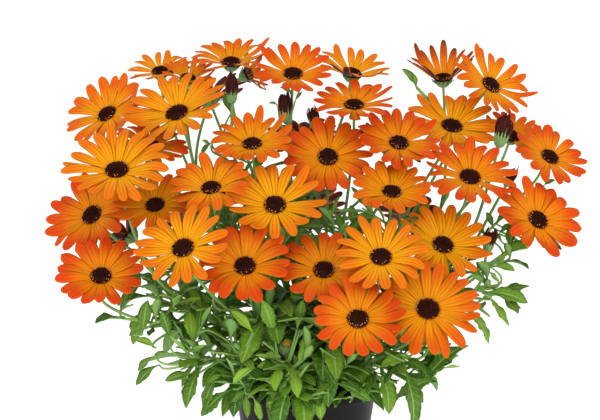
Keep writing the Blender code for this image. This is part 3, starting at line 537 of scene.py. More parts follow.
def glide(knots, rows, at):
    """The value at a share of the way along a smooth curve through rows, which lie at knots."""
    last = len(knots) - 1
    n = max(k for k in range(last) if knots[k] <= at or k == 0)

    def slope(k):
        low, high = max(k - 1, 0), min(k + 1, last)
        return (rows[high] - rows[low]) / (knots[high] - knots[low])

    span = knots[n + 1] - knots[n]
    t = (at - knots[n]) / span
    s = 1 - t
    ends = rows[n] * ((1 + 2 * t) * s * s) + rows[n + 1] * (t * t * (1 + 2 * s))
    return ends + slope(n) * (span * t * s * s) - slope(n + 1) * (span * t * t * s)


def knots_of(line):
    """How far along a line each of its points is."""
    knots = [0.0]
    for a, b in zip(line, line[1:]):
        knots.append(knots[-1] + (b - a).length)
    return knots


def new_shoot(line, girths):
    """A shoot's smoothed line, with its radius at each point."""
    knots = knots_of(line)
    count = max(4, round(knots[-1] / SHOOT_STEP))
    shares = [k / count for k in range(count + 1)]
    smooth = [glide(knots, line, knots[-1] * share) for share in shares]
    return Shoot(smooth, [girths[0] + (girths[1] - girths[0]) * share for share in shares])


def shoot_tree():
    """Geometry nodes that sweep a ribbed tube along lines, as thick as their girth attribute says."""
    tree, given = new_tree("ribbed shoots", {"Sides": "Int", "Rib Depth": "Float"})
    path = add_node(tree, "GeometryNodeMeshToCurve", {"Mesh": given["Geometry"]})
    girth = add_node(tree, "GeometryNodeInputNamedAttribute", {"Name": "girth"})
    circle = add_node(tree, "GeometryNodeCurvePrimitiveCircle", {
        "Resolution": given["Sides"], "Radius": 1.0,
    })
    index = add_node(tree, "GeometryNodeInputIndex").outputs[0]
    odd = add_node(tree, "ShaderNodeMath", {0: index, 1: 2.0}, operation="MODULO")
    sunk = add_node(tree, "ShaderNodeMath", {0: odd.outputs[0], 1: given["Rib Depth"]},
                    operation="MULTIPLY")
    keep = add_node(tree, "ShaderNodeMath", {0: 1.0, 1: sunk.outputs[0]}, operation="SUBTRACT")
    place = add_node(tree, "GeometryNodeInputPosition").outputs[0]
    drawn = add_node(tree, "ShaderNodeVectorMath", {0: place, "Scale": keep.outputs[0]},
                     operation="SCALE")
    ribbed = add_node(tree, "GeometryNodeSetPosition", {
        "Geometry": circle.outputs[0], "Position": drawn.outputs[0],
    })
    swept = add_node(tree, "GeometryNodeCurveToMesh", {
        "Curve": path.outputs[0], "Profile Curve": ribbed.outputs[0], "Scale": girth.outputs[0],
        "Fill Caps": True,
    })
    return end_tree(tree, swept.outputs[0], given["Material"])


def marked(mesh, **marks):
    """The mesh, with each list of values kept as an attribute of its points."""
    for name, values in marks.items():
        mesh.attributes.new(name, "FLOAT", "POINT").data.foreach_set("value", values)
    return mesh


def shoot_lines(shoots):
    """A mesh of the shoots' lines, which the tree makes into tubes."""
    points, edges, girths, shares = [], [], [], []
    for shoot in shoots:
        first = len(points)
        points += shoot.line
        girths += shoot.girths
        shares += [k / (len(shoot.line) - 1) for k in range(len(shoot.line))]
        edges += [(n, n + 1) for n in range(first, len(points) - 1)]
    mesh = bpy.data.meshes.new("lines")
    mesh.from_pydata(points, edges, [])
    return marked(mesh, girth=girths, along=shares)


def shoot_skin():
    """Soft young stem: matte from its fine hairs, paler and redder in places."""
    made, tree, shader = new_material("herbaceous_stem", Roughness=0.55, Sheen_Weight=0.06,
                                      Specular_IOR_Level=0.25)
    place = add_node(tree, "ShaderNodeTexCoord").outputs["Object"]
    patch = add_node(tree, "ShaderNodeTexNoise", {"Vector": place, "Scale": 45, "Detail": 3})
    hairs = add_node(tree, "ShaderNodeTexNoise", {"Vector": place, "Scale": 2600, "Detail": 1})
    pale = add_node(tree, "ShaderNodeMix", {
        0: patch.outputs["Fac"], 6: linear(SHOOT_GREEN), 7: linear(SHOOT_PALE),
    }, data_type="RGBA")
    speck = add_node(tree, "ShaderNodeMapRange", {
        "Value": patch.outputs["Fac"], "From Min": 0.62, "From Max": 0.85, "To Max": 0.5,
    })
    tint = add_node(tree, "ShaderNodeMix", {
        0: speck.outputs["Result"], 6: pale.outputs[2], 7: linear(SHOOT_RED),
    }, data_type="RGBA")
    bump = add_node(tree, "ShaderNodeBump", {
        "Height": hairs.outputs["Fac"], "Strength": 0.4, "Distance": 0.05 * MM,
    })
    tree.links.new(tint.outputs[2], shader.inputs["Base Color"])
    tree.links.new(bump.outputs["Normal"], shader.inputs["Normal"])
    return made


heads = {name: read_head(name) for name in bloom_names + bud_names}
bud_way = up * math.sin(GREEN_BUD_LEAN) - into * math.cos(GREEN_BUD_LEAN)
bud_seats = []
for px, py, depth in GREEN_BUDS:
    for step in GREEN_BUD_STEPS:
        place = photo_place(px, py, depth * MM + step * GREEN_BUD_STEP)
        bud_seats.append(place - bud_way * GREEN_BUD_HALF)
herb = shoot_skin()
ribbed_shoots = shoot_tree()
shoots, cad_leaves, green_buds = {}, {}, {}
for name in stem_names:
    points, near = skeleton(name)
    cad_leaves[name] = take_leaves(points, near)
    stalks = [take_stalk(points, near, head.seat) for head in heads.values()]
    young = [(seat, take_green_bud(points, near, seat, bud_way)) for seat in bud_seats]
    green_buds[name] = [(line[-1], bud_way) for seat, line in young if line]
    stalks = [line for line in stalks + [line for seat, line in young] if line]
    foot = sorted(near, key=lambda n: points[n].z)[:STEM_SIDES]
    line = [centre(points, ring) for ring in rings_from(near, foot, len(near))]
    shoots[name] = [new_shoot(line, STEM_GIRTHS)]
    spine = shoots[name][0].line
    for stalk in stalks:
        within = min(spine, key=lambda point: (point - stalk[0]).length)
        shoots[name].append(new_shoot([stalk[0].lerp(within, 0.5)] + stalk[1:], STALK_GIRTHS))
    lines = shoot_lines(shoots[name])
    mesh = grown(lines, ribbed_shoots, Sides=SHOOT_SIDES, Rib_Depth=SHOOT_RIBS, Material=herb)
    new_piece(name.replace("leafy_stem", "shoots"), mesh, herb, "leaf_green", name)

# The leaves. Soft, thin and slightly fleshy, they sit singly round each stem: the big ones are lance
# shaped with a few blunt teeth, the small ones on the flower stalks are spoon shaped and whole. Each
# blade has a sunken midrib and a gently waved edge. The CAD leaves are followed, and more fill in.
CAD_LEAF_WIDTH, LEAF_WIDTHS = 0.34, (0.27, 0.42)  # of its length
LEAF_THICK = 0.45 * MM
LEAF_ACROSS = (-1, -0.5, 0, 0.5, 1)
EDGE_THINNED = 0.5  # how much thinner a blade is at its edges
MIDRIB_DEPTH = 0.35 * MM
LEAF_WAVE, LEAF_FOLD = (0.04, 0.1), (0.02, 0.22)  # of its width
LEAF_WAVES, WAVE_LAG = 2.3, 1.9  # waves along each edge, and how far one edge's lag behind
CAD_LEAF_YOUNG = 0.6  # how young the CAD's leaves are at most
TOOTHED = (
    (0, 0.1), (0.1, 0.11), (0.2, 0.18), (0.3, 0.38), (0.385, 0.68), (0.425, 0.6), (0.5, 0.86),
    (0.565, 1.0), (0.605, 0.86), (0.67, 0.93), (0.73, 0.9), (0.765, 0.72), (0.84, 0.6), (0.91, 0.4),
    (0.965, 0.2), (1, 0.03),
)
WHOLE = (
    (0, 0.12), (0.1, 0.15), (0.18, 0.28), (0.27, 0.5), (0.36, 0.72), (0.46, 0.9), (0.56, 1.0),
    (0.66, 0.98), (0.75, 0.86), (0.83, 0.67), (0.9, 0.45), (0.96, 0.22), (1, 0.03),
)
STEM_MORE_LEAVES, STEM_LEAF_LENGTHS = 24, (22 * MM, 42 * MM)
STALK_MORE_LEAVES, STALK_LEAF_LENGTHS = 5, (16 * MM, 28 * MM)
STEM_LEAFY, STALK_LEAFY, SIDE_LEAFY = (0.3, 1), (0.05, 0.5), (0.25, 1)  # where along they bear leaves
LEAF_SPREAD = (0.2, 0.8)  # where in its own stretch of the shoot each leaf stands
LEAF_SLANT = (0.6, 1.7)  # how much a leaf leans along its shoot
LEAF_LIFT = Vector((0, 0, 0.3))
LEAF_DROOP, LEAF_ROLL = (-10, 50), (-25, 25)  # degrees
UPPER_SHORTENED = 0.35  # how much shorter the leaves at a shoot's end are
YOUNG_FEW = 1.5  # the higher, the fewer of the leaves are young
ARCH_STEPS = 4
SIDEWAYS = Vector((0.3, 0.2, 1))  # crossed with a shoot's own way, it gives one to its side
SEEN_LEAVES = (  # pixel of each one's foot and of its tip, its depth in mm, and how young it is
    (155, 356, 138, 371, -45, 0.2), (159, 365, 136, 385, -45, 0.1), (194, 376, 165, 381, -50, 0.3),
    (233, 389, 201, 416, -50, 0.1), (254, 367, 233, 383, -72, 1.0), (257, 358, 281, 357, -74, 1.0),
    (253, 333, 231, 311, -72, 1.0), (275, 339, 262, 300, -72, 0.5), (142, 335, 148, 300, -40, 0.2),
    (170, 339, 161, 311, -45, 0.1), (156, 348, 135, 340, -42, 0.9), (233, 377, 207, 383, -56, 0.4),
    (250, 390, 232, 402, -60, 0.2), (253, 397, 261, 420, -64, 0.8), (291, 368, 298, 386, -76, 0.7),
    (293, 370, 257, 367, -74, 0.5), (288, 378, 281, 396, -72, 0.2), (482, 293, 528, 303, -35, 0.3),
    (491, 267, 515, 271, -30, 0.4), (488, 271, 497, 281, -30, 0.3), (418, 388, 461, 347, -48, 0.1),
    (392, 403, 432, 380, -50, 0.2), (407, 383, 423, 403, -52, 0.3), (331, 383, 371, 401, -72, 0.3),
    (320, 348, 329, 369, -76, 0.6), (318, 389, 321, 420, -66, 0.5), (372, 372, 410, 356, -60, 0.9),
    (303, 357, 315, 339, -76, 0.5), (331, 300, 292, 285, -66, 0.5), (297, 330, 303, 300, -70, 0.4),
    (417, 87, 402, 69, 60, 0.2), (416, 88, 414, 74, 60, 0.3), (231, 114, 223, 92, 34, 0.1),
    (278, 105, 269, 103, 30, 0.4), (293, 94, 280, 87, 24, 0.3), (295, 101, 302, 92, 24, 0.2),
    (212, 142, 201, 155, 5, 0.1), (211, 146, 202, 140, 5, 0.5),
    (543, 186, 555, 180, 10, 0.1), (493, 228, 486, 212, -5, 0.2), (496, 224, 508, 212, -5, 0.3),
    (499, 234, 512, 224, -8, 0.2), (486, 236, 474, 226, -8, 0.3), (357, 232, 350, 205, -15, 0.3),
    (366, 230, 371, 206, -12, 0.6), (345, 236, 336, 214, -15, 0.4),
)
SEEN_LEAF_WIDTH, SEEN_LEAF_ARCH = 0.37, 0.45  # of its length
SEEN_LEAF_OVER = Vector((0, -0.3, 0.95))
SEEN_LEAF_ROLL = (-0.3, 0.3)
SIDE_SHOOTS = (  # pixel of each one's tip, and its depth in mm
    (250, 395, -66), (285, 402, -68), (318, 398, -68), (350, 402, -64), (235, 372, -66),
    (265, 378, -70), (300, 380, -74), (335, 378, -72), (372, 380, -62), (245, 340, -70),
    (275, 350, -76), (310, 352, -78), (345, 360, -72), (385, 352, -66), (405, 370, -50),
    (425, 345, -50), (165, 318, -40), (190, 345, -50), (180, 300, -45), (205, 320, -55),
    (130, 300, -30),
    (440, 362, -35), (455, 350, -30), (420, 380, -45), (470, 300, -30), (500, 296, -30),
    (400, 395, -50), (300, 330, -70), (330, 335, -60), (230, 320, -60), (260, 310, -50),
    (215, 290, -50), (300, 300, -50), (330, 210, -30), (345, 228, -35), (362, 208, -30),
    (418, 215, -30), (215, 225, -30), (500, 240, -20), (290, 235, -35), (470, 270, -30),
    (200, 270, -35), (225, 205, -20), (305, 215, -20), (380, 225, -30), (425, 275, -40),
    (230, 300, 10), (260, 290, 12), (290, 310, 15), (320, 320, 15), (350, 330, 10), (380, 340, 5),
    (400, 330, 0), (215, 330, 5), (250, 340, 10), (200, 300, 0), (240, 270, 10), (280, 260, 12),
    (340, 290, 10), (185, 320, -10), (420, 325, -5), (230, 345, -10), (270, 330, 0),
)
SIDE_REACH = 18 * MM
SIDE_DOWN = 0.4  # the most that a side shoot falls, of its length
SIDE_UPWARD = 0.5  # how much a start far below is preferred to a near one
SIDE_BOW, SIDE_SAG = 0.1, 0.12  # of how far out it starts, and of its length
RIM_CLEARED = 4 * MM
SIDE_GIRTHS = (1.1 * MM, 0.7 * MM)
SIDE_LEAVES = 5
SIDE_LEAF_LENGTHS = (20 * MM, 34 * MM)
SIDE_SHOOT_SIDES, SIDE_SHOOT_RIBS = 6, 0.1
LEAF_REACH = 40 * MM
LEAF_TRIES = 7
LEAF_FREE_FROM = 3  # the rows of corners at its foot may touch its own shoot
LOWEST_BESIDE, LOWEST_BEFORE, POT_HALF_SEEN = 383, 408, 66  # pixels of the photograph
BUD_REACH = 7 * MM
TOOTHED_FROM = 27 * MM
GOLDEN_TURN = math.radians(137.5)
LEAF_DARK, LEAF_GREEN, LEAF_YOUNG = "#28540f", "#52861d", "#9fcb38"
LEAF_VEIN, LEAF_UNDER = "#c0d98c", "#83ab62"


class Blades:
    """Many thin closed blades, gathered into one mesh with marks for the material to read."""

    def __init__(self):
        self.points, self.faces = [], []
        self.marks = {"along": [], "across": [], "under": [], "tint": [], "age": []}

    def add(self, middles, edges, halves, across, lift, thickness, tint=0.0, age=0.0):
        """A blade along middles, halves wide to each side, with lift(u, share) as its relief."""
        last = len(middles) - 1
        sides = 2 * len(across) - 2
        inner = across[-2:0:-1]
        first = len(self.points)
        for n, (middle, edge, half) in enumerate(zip(middles, edges, halves)):
            ahead = (middles[min(n + 1, last)] - middles[max(n - 1, 0)]).normalized()
            side = (edge - ahead * edge.dot(ahead)).normalized()
            over = side.cross(ahead)
            share = n / last
            for u in across:
                self.points.append(middle + side * (u * half) + over * lift(u, share))
            for u in inner:
                deep = thickness * (1 - EDGE_THINNED * u * u)
                self.points.append(middle + side * (u * half) + over * (lift(u, share) - deep))
            self.marks["along"] += [share] * sides
            self.marks["across"] += [*across, *inner]
            self.marks["under"] += [0] * len(across) + [1] * len(inner)
            self.marks["tint"] += [tint] * sides
            self.marks["age"] += [age] * sides
        for n in range(last):
            low = first + n * sides
            for i in range(sides):
                j = (i + 1) % sides
                self.faces.append((low + i, low + j, low + sides + j, low + sides + i))
        self.faces.append(tuple(range(first + sides - 1, first - 1, -1)))
        self.faces.append(tuple(range(first + last * sides, first + (last + 1) * sides)))

    def join(self, other):
        """Takes in the blades of another."""
        first = len(self.points)
        self.points += other.points
        self.faces += [tuple(first + n for n in face) for face in other.faces]
        for key, values in other.marks.items():
            self.marks[key] += values

    def mesh(self, matrix=Matrix()):
        """The blades as one mesh, placed by a matrix."""
        made = bpy.data.meshes.new("blades")
        made.from_pydata([matrix @ point for point in self.points], [], self.faces)
        return marked(made, **self.marks)


def leaf_middle(ring):
    """The middle of a CAD leaf's ring between its edges, its width as a vector, and its keel."""
    pairs = [(ring[0], ring[1], ring[2]), (ring[1], ring[2], ring[0]), (ring[0], ring[2], ring[1])]
    left, other, keel = max(pairs, key=lambda corners: (corners[1] - corners[0]).length)
    return (left + other) / 2, other - left, keel


def add_leaf(blades, rows, edges, width, outline, rng, young):
    """A leaf whose spine runs smoothly through rows and whose width turns from edge to edge."""
    knots = knots_of(rows)
    wave, phase = rng.uniform(*LEAF_WAVE) * width, rng.uniform(0, FULL_TURN)
    fold = rng.uniform(*LEAF_FOLD) * width

    def lift(u, share):
        rim = math.sin(2 * math.pi * LEAF_WAVES * share + phase + (WAVE_LAG if u > 0 else 0))
        trough = MIDRIB_DEPTH if u == 0 else 0
        return (fold * abs(u) + wave * rim * u * u) * math.sin(math.pi * share) - trough

    middles = [glide(knots, rows, knots[-1] * share) for share, _ in outline]
    turns = [glide(knots, edges, knots[-1] * share) for share, _ in outline]
    halves = [half * width / 2 for _, half in outline]
    blades.add(middles, turns, halves, LEAF_ACROSS, lift, LEAF_THICK, young)


def follow_leaf(blades, leaf, rng):
    """A CAD leaf made fine: its root, its rings and its tip are the spine."""
    root, *rings, tip = leaf
    foot = sum(root, Vector()) / 3
    rows, edges = [foot], []
    for ring in rings:
        middle, edge, keel = leaf_middle(ring)
        over = middle - keel
        edge = edge if edge.cross(middle - rows[-1]).dot(over) > 0 else -edge
        rows.append(middle)
        edges.append(edge.normalized())
    rows.append(tip)
    width = knots_of(rows)[-1] * CAD_LEAF_WIDTH
    outline = TOOTHED if len(rings) == LEAF_RINGS - 1 else WHOLE
    add_leaf(blades, rows, [edges[0], *edges, edges[-1]], width, outline, rng,
             rng.uniform(0, CAD_LEAF_YOUNG))


def arched(foot, ahead, droop, length):
    """Points along a leaf that leaves its foot one way and droops as it goes."""
    flat = Vector((ahead.x, ahead.y, 0)).normalized()
    pitch = math.asin(ahead.z)
    rows = [foot]
    for k in range(ARCH_STEPS):
        angle = pitch - droop * (k + 0.5) / ARCH_STEPS
        step = flat * math.cos(angle) + Vector((0, 0, math.sin(angle)))
        rows.append(rows[-1] + step * length / ARCH_STEPS)
    return rows, Vector((flat.y, -flat.x, 0))


def cad_tree():
    """All of the CAD solids in one search tree, so that an added leaf can stand clear of them."""
    points, faces = [], []
    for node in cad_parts.values():
        first = len(points)
        points += [v.co.copy() for v in node.data.vertices]
        faces += [tuple(first + n for n in face.vertices) for face in node.data.polygons]
    return BVHTree.FromPolygons(points, faces)


def out_of_place(point):
    """Whether a leaf there would hang lower than the photograph's do, or hide a young bud."""
    seen = point - aim
    across, height = seen.dot(right) / METRES_PER_PIXEL, seen.dot(up) / METRES_PER_PIXEL
    beside = abs(across + PHOTO_MIDDLE.x - RIM_MIDDLE.x) > POT_HALF_SEEN
    if PHOTO_MIDDLE.y - height > (LOWEST_BESIDE if beside else LOWEST_BEFORE):
        return True
    gaps = [point - seat for buds in green_buds.values() for seat, _ in buds]
    return any(gap.dot(into) < 0 and math.hypot(gap.dot(right), gap.dot(up) - BUD_REACH) < BUD_REACH
               for gap in gaps)


def more_leaves(blades, shoot, wanted, span, lengths, standing, rng):
    """Leaves in a spiral along a stretch of a shoot, each where it clears what stands."""
    turn = rng.uniform(0, FULL_TURN)
    for k in range(wanted):
        share = span[0] + (span[1] - span[0]) * (k + rng.uniform(*LEAF_SPREAD)) / wanted
        n = min(int(share * (len(shoot.line) - 1)), len(shoot.line) - 2)
        along = (shoot.line[n + 1] - shoot.line[n]).normalized()
        side = along.cross(SIDEWAYS).normalized()
        length = rng.uniform(*lengths) * (1 - UPPER_SHORTENED * share)
        for _ in range(LEAF_TRIES):
            turn += GOLDEN_TURN
            out = Matrix.Rotation(turn, 3, along) @ side
            ahead = (out + along * rng.uniform(*LEAF_SLANT) + LEAF_LIFT).normalized()
            droop = math.radians(rng.uniform(*LEAF_DROOP))
            rows, edge = arched(shoot.line[n], ahead, droop, length)
            edge = Matrix.Rotation(math.radians(rng.uniform(*LEAF_ROLL)), 3, ahead) @ edge
            trial = Blades()
            outline = TOOTHED if length > TOOTHED_FROM else WHOLE
            width = length * rng.uniform(*LEAF_WIDTHS)
            young = rng.uniform(0, 1) ** YOUNG_FEW
            add_leaf(trial, rows, [edge] * len(rows), width, outline, rng, young)
            free_from = LEAF_FREE_FROM * (2 * len(LEAF_ACROSS) - 2)
            tree = BVHTree.FromPolygons(trial.points, [f for f in trial.faces if min(f) >= free_from])
            close = [other for spot, other in standing if (spot - rows[2]).length < LEAF_REACH]
            close.insert(0, cad_solids)
            misplaced = any(out_of_place(point) for point in trial.points)
            if not misplaced and not any(tree.overlap(other) for other in close):
                standing.append((rows[2], tree))
                blades.join(trial)
                break


def leaf_blade():
    """Living leaf: a waxy, faintly glossy green top with paler veins and rim, and a matte underside."""
    made, tree, shader = new_material("osteospermum_leaf", Roughness=0.42, IOR=1.42,
                                      Specular_IOR_Level=0.22)
    marks = {}
    for name in ("along", "across", "under", "tint"):
        marks[name] = add_node(tree, "ShaderNodeAttribute", attribute_name=name).outputs["Fac"]
    place = add_node(tree, "ShaderNodeTexCoord").outputs["Object"]
    patch = add_node(tree, "ShaderNodeTexNoise", {"Vector": place, "Scale": 70, "Detail": 4})
    skin = add_node(tree, "ShaderNodeTexVoronoi", {"Vector": place, "Scale": 900})
    side = add_node(tree, "ShaderNodeMath", {0: marks["across"]}, operation="ABSOLUTE").outputs[0]
    green = add_node(tree, "ShaderNodeMix", {
        0: patch.outputs["Fac"], 6: linear(LEAF_DARK), 7: linear(LEAF_GREEN),
    }, data_type="RGBA")
    young = add_node(tree, "ShaderNodeMath", {0: marks["tint"], 1: 0.75}, operation="MULTIPLY")
    fresh = add_node(tree, "ShaderNodeMix", {
        0: young.outputs[0], 6: green.outputs[2], 7: linear(LEAF_YOUNG),
    }, data_type="RGBA")
    back = add_node(tree, "ShaderNodeMath", {0: side, 1: -0.12, 2: marks["along"]},
                    operation="MULTIPLY_ADD")
    comb = add_node(tree, "ShaderNodeMath", {0: back.outputs[0], 1: 52.0}, operation="MULTIPLY")
    waves = add_node(tree, "ShaderNodeMath", {0: comb.outputs[0]}, operation="SINE")
    veins = add_node(tree, "ShaderNodeMapRange", {
        "Value": waves.outputs[0], "From Min": 0.86, "From Max": 1.0, "To Max": 0.25,
    })
    midrib = add_node(tree, "ShaderNodeMapRange", {
        "Value": side, "From Min": 0.04, "From Max": 0.13, "To Min": 0.5, "To Max": 0.0,
    })
    rim = add_node(tree, "ShaderNodeMapRange", {
        "Value": side, "From Min": 0.86, "From Max": 1.0, "To Max": 0.45,
    })
    pale = add_node(tree, "ShaderNodeMath", {0: veins.outputs[0], 1: midrib.outputs[0]},
                    operation="MAXIMUM")
    paler = add_node(tree, "ShaderNodeMath", {0: pale.outputs[0], 1: rim.outputs[0]},
                     operation="MAXIMUM")
    veined = add_node(tree, "ShaderNodeMix", {
        0: paler.outputs[0], 6: fresh.outputs[2], 7: linear(LEAF_VEIN),
    }, data_type="RGBA")
    below = add_node(tree, "ShaderNodeMath", {0: marks["under"], 1: 0.7}, operation="MULTIPLY")
    tint = add_node(tree, "ShaderNodeMix", {
        0: below.outputs[0], 6: veined.outputs[2], 7: linear(LEAF_UNDER),
    }, data_type="RGBA")
    gloss = add_node(tree, "ShaderNodeMapRange", {
        "Value": marks["under"], "To Min": 0.4, "To Max": 0.7,
    })
    height = add_node(tree, "ShaderNodeMath", {0: pale.outputs[0], 1: -1.2, 2: skin.outputs["Distance"]},
                      operation="MULTIPLY_ADD")
    bump = add_node(tree, "ShaderNodeBump", {
        "Height": height.outputs[0], "Strength": 0.35, "Distance": 0.25 * MM,
    })
    tree.links.new(tint.outputs[2], shader.inputs["Base Color"])
    tree.links.new(gloss.outputs[0], shader.inputs["Roughness"])
    tree.links.new(bump.outputs["Normal"], shader.inputs["Normal"])
    return made


def side_shoot(end):
    """A thin side shoot that leaves the nearest shoot below and ends at a place, and that one's stem."""
    options = []
    for name in stem_names:
        for shoot in shoots[name]:
            for point in shoot.line[2:-3]:
                gap = end - point
                if gap.length > SIDE_REACH and gap.z > -SIDE_DOWN * gap.length:
                    options.append((gap.length - SIDE_UPWARD * gap.z, name, point))
    _, name, start = min(options, key=lambda option: option[0])
    gap = end - start
    bow = Vector((start.x, start.y, 0)) * SIDE_BOW + Vector((0, 0, -SIDE_SAG * gap.length))
    line = [start, start.lerp(end, 0.35) + bow, start.lerp(end, 0.7) + bow * 0.8, end]
    for point in line[1:3]:
        point.z = max(point.z, POT_RIM.z + RIM_CLEARED)
    return name, new_shoot(line, SIDE_GIRTHS)


def seen_leaf(blades, foot, tip, young, rng):
    """A leaf of the photograph, from its foot to its tip, with its top to the front and up."""
    ahead = tip - foot
    rise = SEEN_LEAF_OVER * ahead.length
    shares = (0, 0.25, 0.5, 0.75, 1)
    rows = [foot + ahead * share + rise * (SEEN_LEAF_ARCH * share * (1 - share)) for share in shares]
    edge = ahead.cross(Vector((rng.uniform(*SEEN_LEAF_ROLL), -0.7, 0.7))).normalized()
    outline = TOOTHED if ahead.length > TOOTHED_FROM else WHOLE
    made = Blades()
    add_leaf(made, rows, [edge] * len(rows), ahead.length * SEEN_LEAF_WIDTH, outline, rng, young)
    standing.append((rows[2], BVHTree.FromPolygons(made.points, made.faces)))
    blades.join(made)


leaf = leaf_blade()
cad_solids = cad_tree()
standing = []
rng = random.Random(21)
all_blades = {name: Blades() for name in stem_names}
sides = {name: [] for name in stem_names}
bare = {name: [] for name in stem_names}
for px, py, tip_x, tip_y, depth, young in SEEN_LEAVES:
    foot = photo_place(px, py, depth * MM)
    name, shoot = side_shoot(foot)
    bare[name].append(shoot)
    seen_leaf(all_blades[name], foot, photo_place(tip_x, tip_y, depth * MM), young, rng)
for px, py, depth in SIDE_SHOOTS:
    name, shoot = side_shoot(photo_place(px, py, depth * MM))
    sides[name].append(shoot)
for name in stem_names:
    blades = all_blades[name]
    for cad_leaf in cad_leaves[name]:
        follow_leaf(blades, cad_leaf, rng)
    stem, *stalks = shoots[name]
    more_leaves(blades, stem, STEM_MORE_LEAVES, STEM_LEAFY, STEM_LEAF_LENGTHS, standing, rng)
    for stalk in stalks:
        more_leaves(blades, stalk, STALK_MORE_LEAVES, STALK_LEAFY, STALK_LEAF_LENGTHS, standing, rng)
    for side in sides[name]:
        more_leaves(blades, side, SIDE_LEAVES, SIDE_LEAFY, SIDE_LEAF_LENGTHS, standing, rng)
    new_piece(name.replace("leafy_stem", "leaves"), blades.mesh(), leaf, "leaf_green")
    if sides[name] + bare[name]:
        lines = shoot_lines(sides[name] + bare[name])
        mesh = grown(lines, ribbed_shoots, Sides=SIDE_SHOOT_SIDES, Rib_Depth=SIDE_SHOOT_RIBS,
                     Material=herb)
        new_piece(name.replace("leafy_stem", "side_shoots"), mesh, herb, "leaf_green")

# The open flower heads. Each is a ring of thin satin ray petals, narrow at the foot, blunt at the tip
# and creased lengthwise, round a low dark dome of tiny florets, held in a green cup of bracts.
RAY_COUNT = 17
RAY_CROWDING = (0.98, 1.1)  # how much of the circle the rays fill where they are widest
NARROW, NARROWED = range(26, 35), 0.86  # the numbers of the heads with slimmer rays, and how slim
BROAD_DISC, BROAD_MORE = 7 * MM, 2  # the radius from which a head has more rays, and how many
HEAD_FULLNESS = (0.94, 1.06)  # of its usual crowding
RAY_RAISED = 0.08  # how many of the rays stand up out of their ring
RAY_RISES, RAY_RAISED_RISES = (-0.1, 0.1), (0.2, 0.35)  # of its length, at its tip
RAY_SWAY = (-0.12, 0.12)  # of the step from one ray to the next
RAY_WANDER, RAY_TIP_WANDER = (-0.05, 0.05), (-0.04, 0.04)  # of its length
RAY_REACH, RAY_FULLNESS = (0.88, 1.12), (0.92, 1.08)  # of its usual reach and its usual width
RAY_FOLD, RAY_CREASED = (-0.3, 0.2), (0.6, 1.2)  # of its half width, and of the crease's depth
RAY_SPIN = (-12, 12)  # degrees that it turns round its own length
RAY_TINTS = (-0.12, 0.12)  # how much yellower or redder than its head
RAY_FOOT = 0.97  # of the disc's radius
RAY_CREASES = 3
RAY_THICK = 0.4 * MM
RAY_LAYER = 0.5 * MM
RAY_CREASE = 0.28 * MM
RAY_KNOTS = (0, 0.62, 1)
RAY_ACROSS = (-1, -0.68, -0.34, 0, 0.34, 0.68, 1)
RAY_OUTLINE = (
    (0, 0.44), (0.08, 0.52), (0.18, 0.64), (0.3, 0.79), (0.42, 0.91), (0.53, 0.98), (0.64, 1.0),
    (0.75, 0.97), (0.85, 0.87), (0.925, 0.7), (0.97, 0.48), (1, 0.18),
)
FLORETS = 110
FLORET_RADIUS = 0.58 * MM
FLORET_SPREAD, FLORET_DOME = 0.95, 0.92  # of the CAD disc's radius and its height
FLORETS_SHUT = (0.55, 0.8)  # the share of them, from the middle out
DOME_RINGS, DOME_TURNS = 5, 20
DOME_EDGE, DOME_SUNK = 0.98, 1.2 * MM  # of the disc's radius, and how deep its foot stands
FLORET_SIZES = (0.8, 1.15)
POLLEN_SHARE = 0.4  # of the open florets
CUP_BRACTS = 13
CUP_PROFILE = ((0.3, -7.2), (1.6, -7.0), (3.2, -5.9), (4.9, -3.9), (5.9, -1.9), (6.3, -0.5), (5.0, -0.3))
BRACT_LINE = ((2.0, -6.8), (4.1, -5.4), (6.0, -3.3), (7.2, -1.6), (8.3, -0.8))
BRACT_OUTLINE = ((0, 0.6), (0.25, 0.9), (0.5, 1.0), (0.8, 0.6), (1, 0.05))
BRACT_HALF, BRACT_BEND, BRACT_THICK = 1.35 * MM, 0.25 * MM, 0.35 * MM
BRACT_SWAY = (-0.1, 0.1)  # of the step from one bract to the next
BRACT_STRETCH, STRETCHED_FROM = (0.9, 1.12), 7 * MM  # how long its tip is, and where the tip begins
CUP_TURNS = 24
CAD_RADIUS = 6.6 * MM
AMBER = {25, 16, 11, 23, 6, 8, 31, 32, 7}  # the numbers of the heads of that colour
RED_ORANGE = {10, 30, 26, 3, 18, 9, 17, 15, 1, 21, 19, 5, 4}
AMBER_TINT, ORANGE_TINT, RED_TINT = 1, 0.5, 0.1
AGES = {29: 0.5, 34: 0.35}  # how far the rays have darkened from their tips
RAISED = {29: math.radians(24)}  # how much further up the rays stand than their CAD ones
# The degrees round the picture between which a head's rays have dropped off.
FALLEN = {22: (150, 285), 29: (205, 335), 33: (245, 295)}
RAY_RED, RAY_RED_INNER = "#dc4606", "#f48c04"
RAY_AMBER, RAY_AMBER_INNER = "#ee7c04", "#ffa802"
# The deep red of the creases is painted shade for their grooves.
# The pale orange for the rays' edges is a painted highlight.
RAY_CREASE_SHADE, RAY_FOOT_RED, RAY_EDGE_HIGHLIGHT = "#b83206", "#b02c0a", "#f79414"
RAY_UNDER, RAY_UNDER_STRIPE, RAY_DRY = "#8c3a18", "#441618", "#331012"
DISC_DARK, DISC_TIP, DISC_POLLEN = "#1e0602", "#562006", "#e8a060"
CUP_GREEN, CUP_PALE, CUP_EDGE = "#56823a", "#98b574", "#5b3a2c"


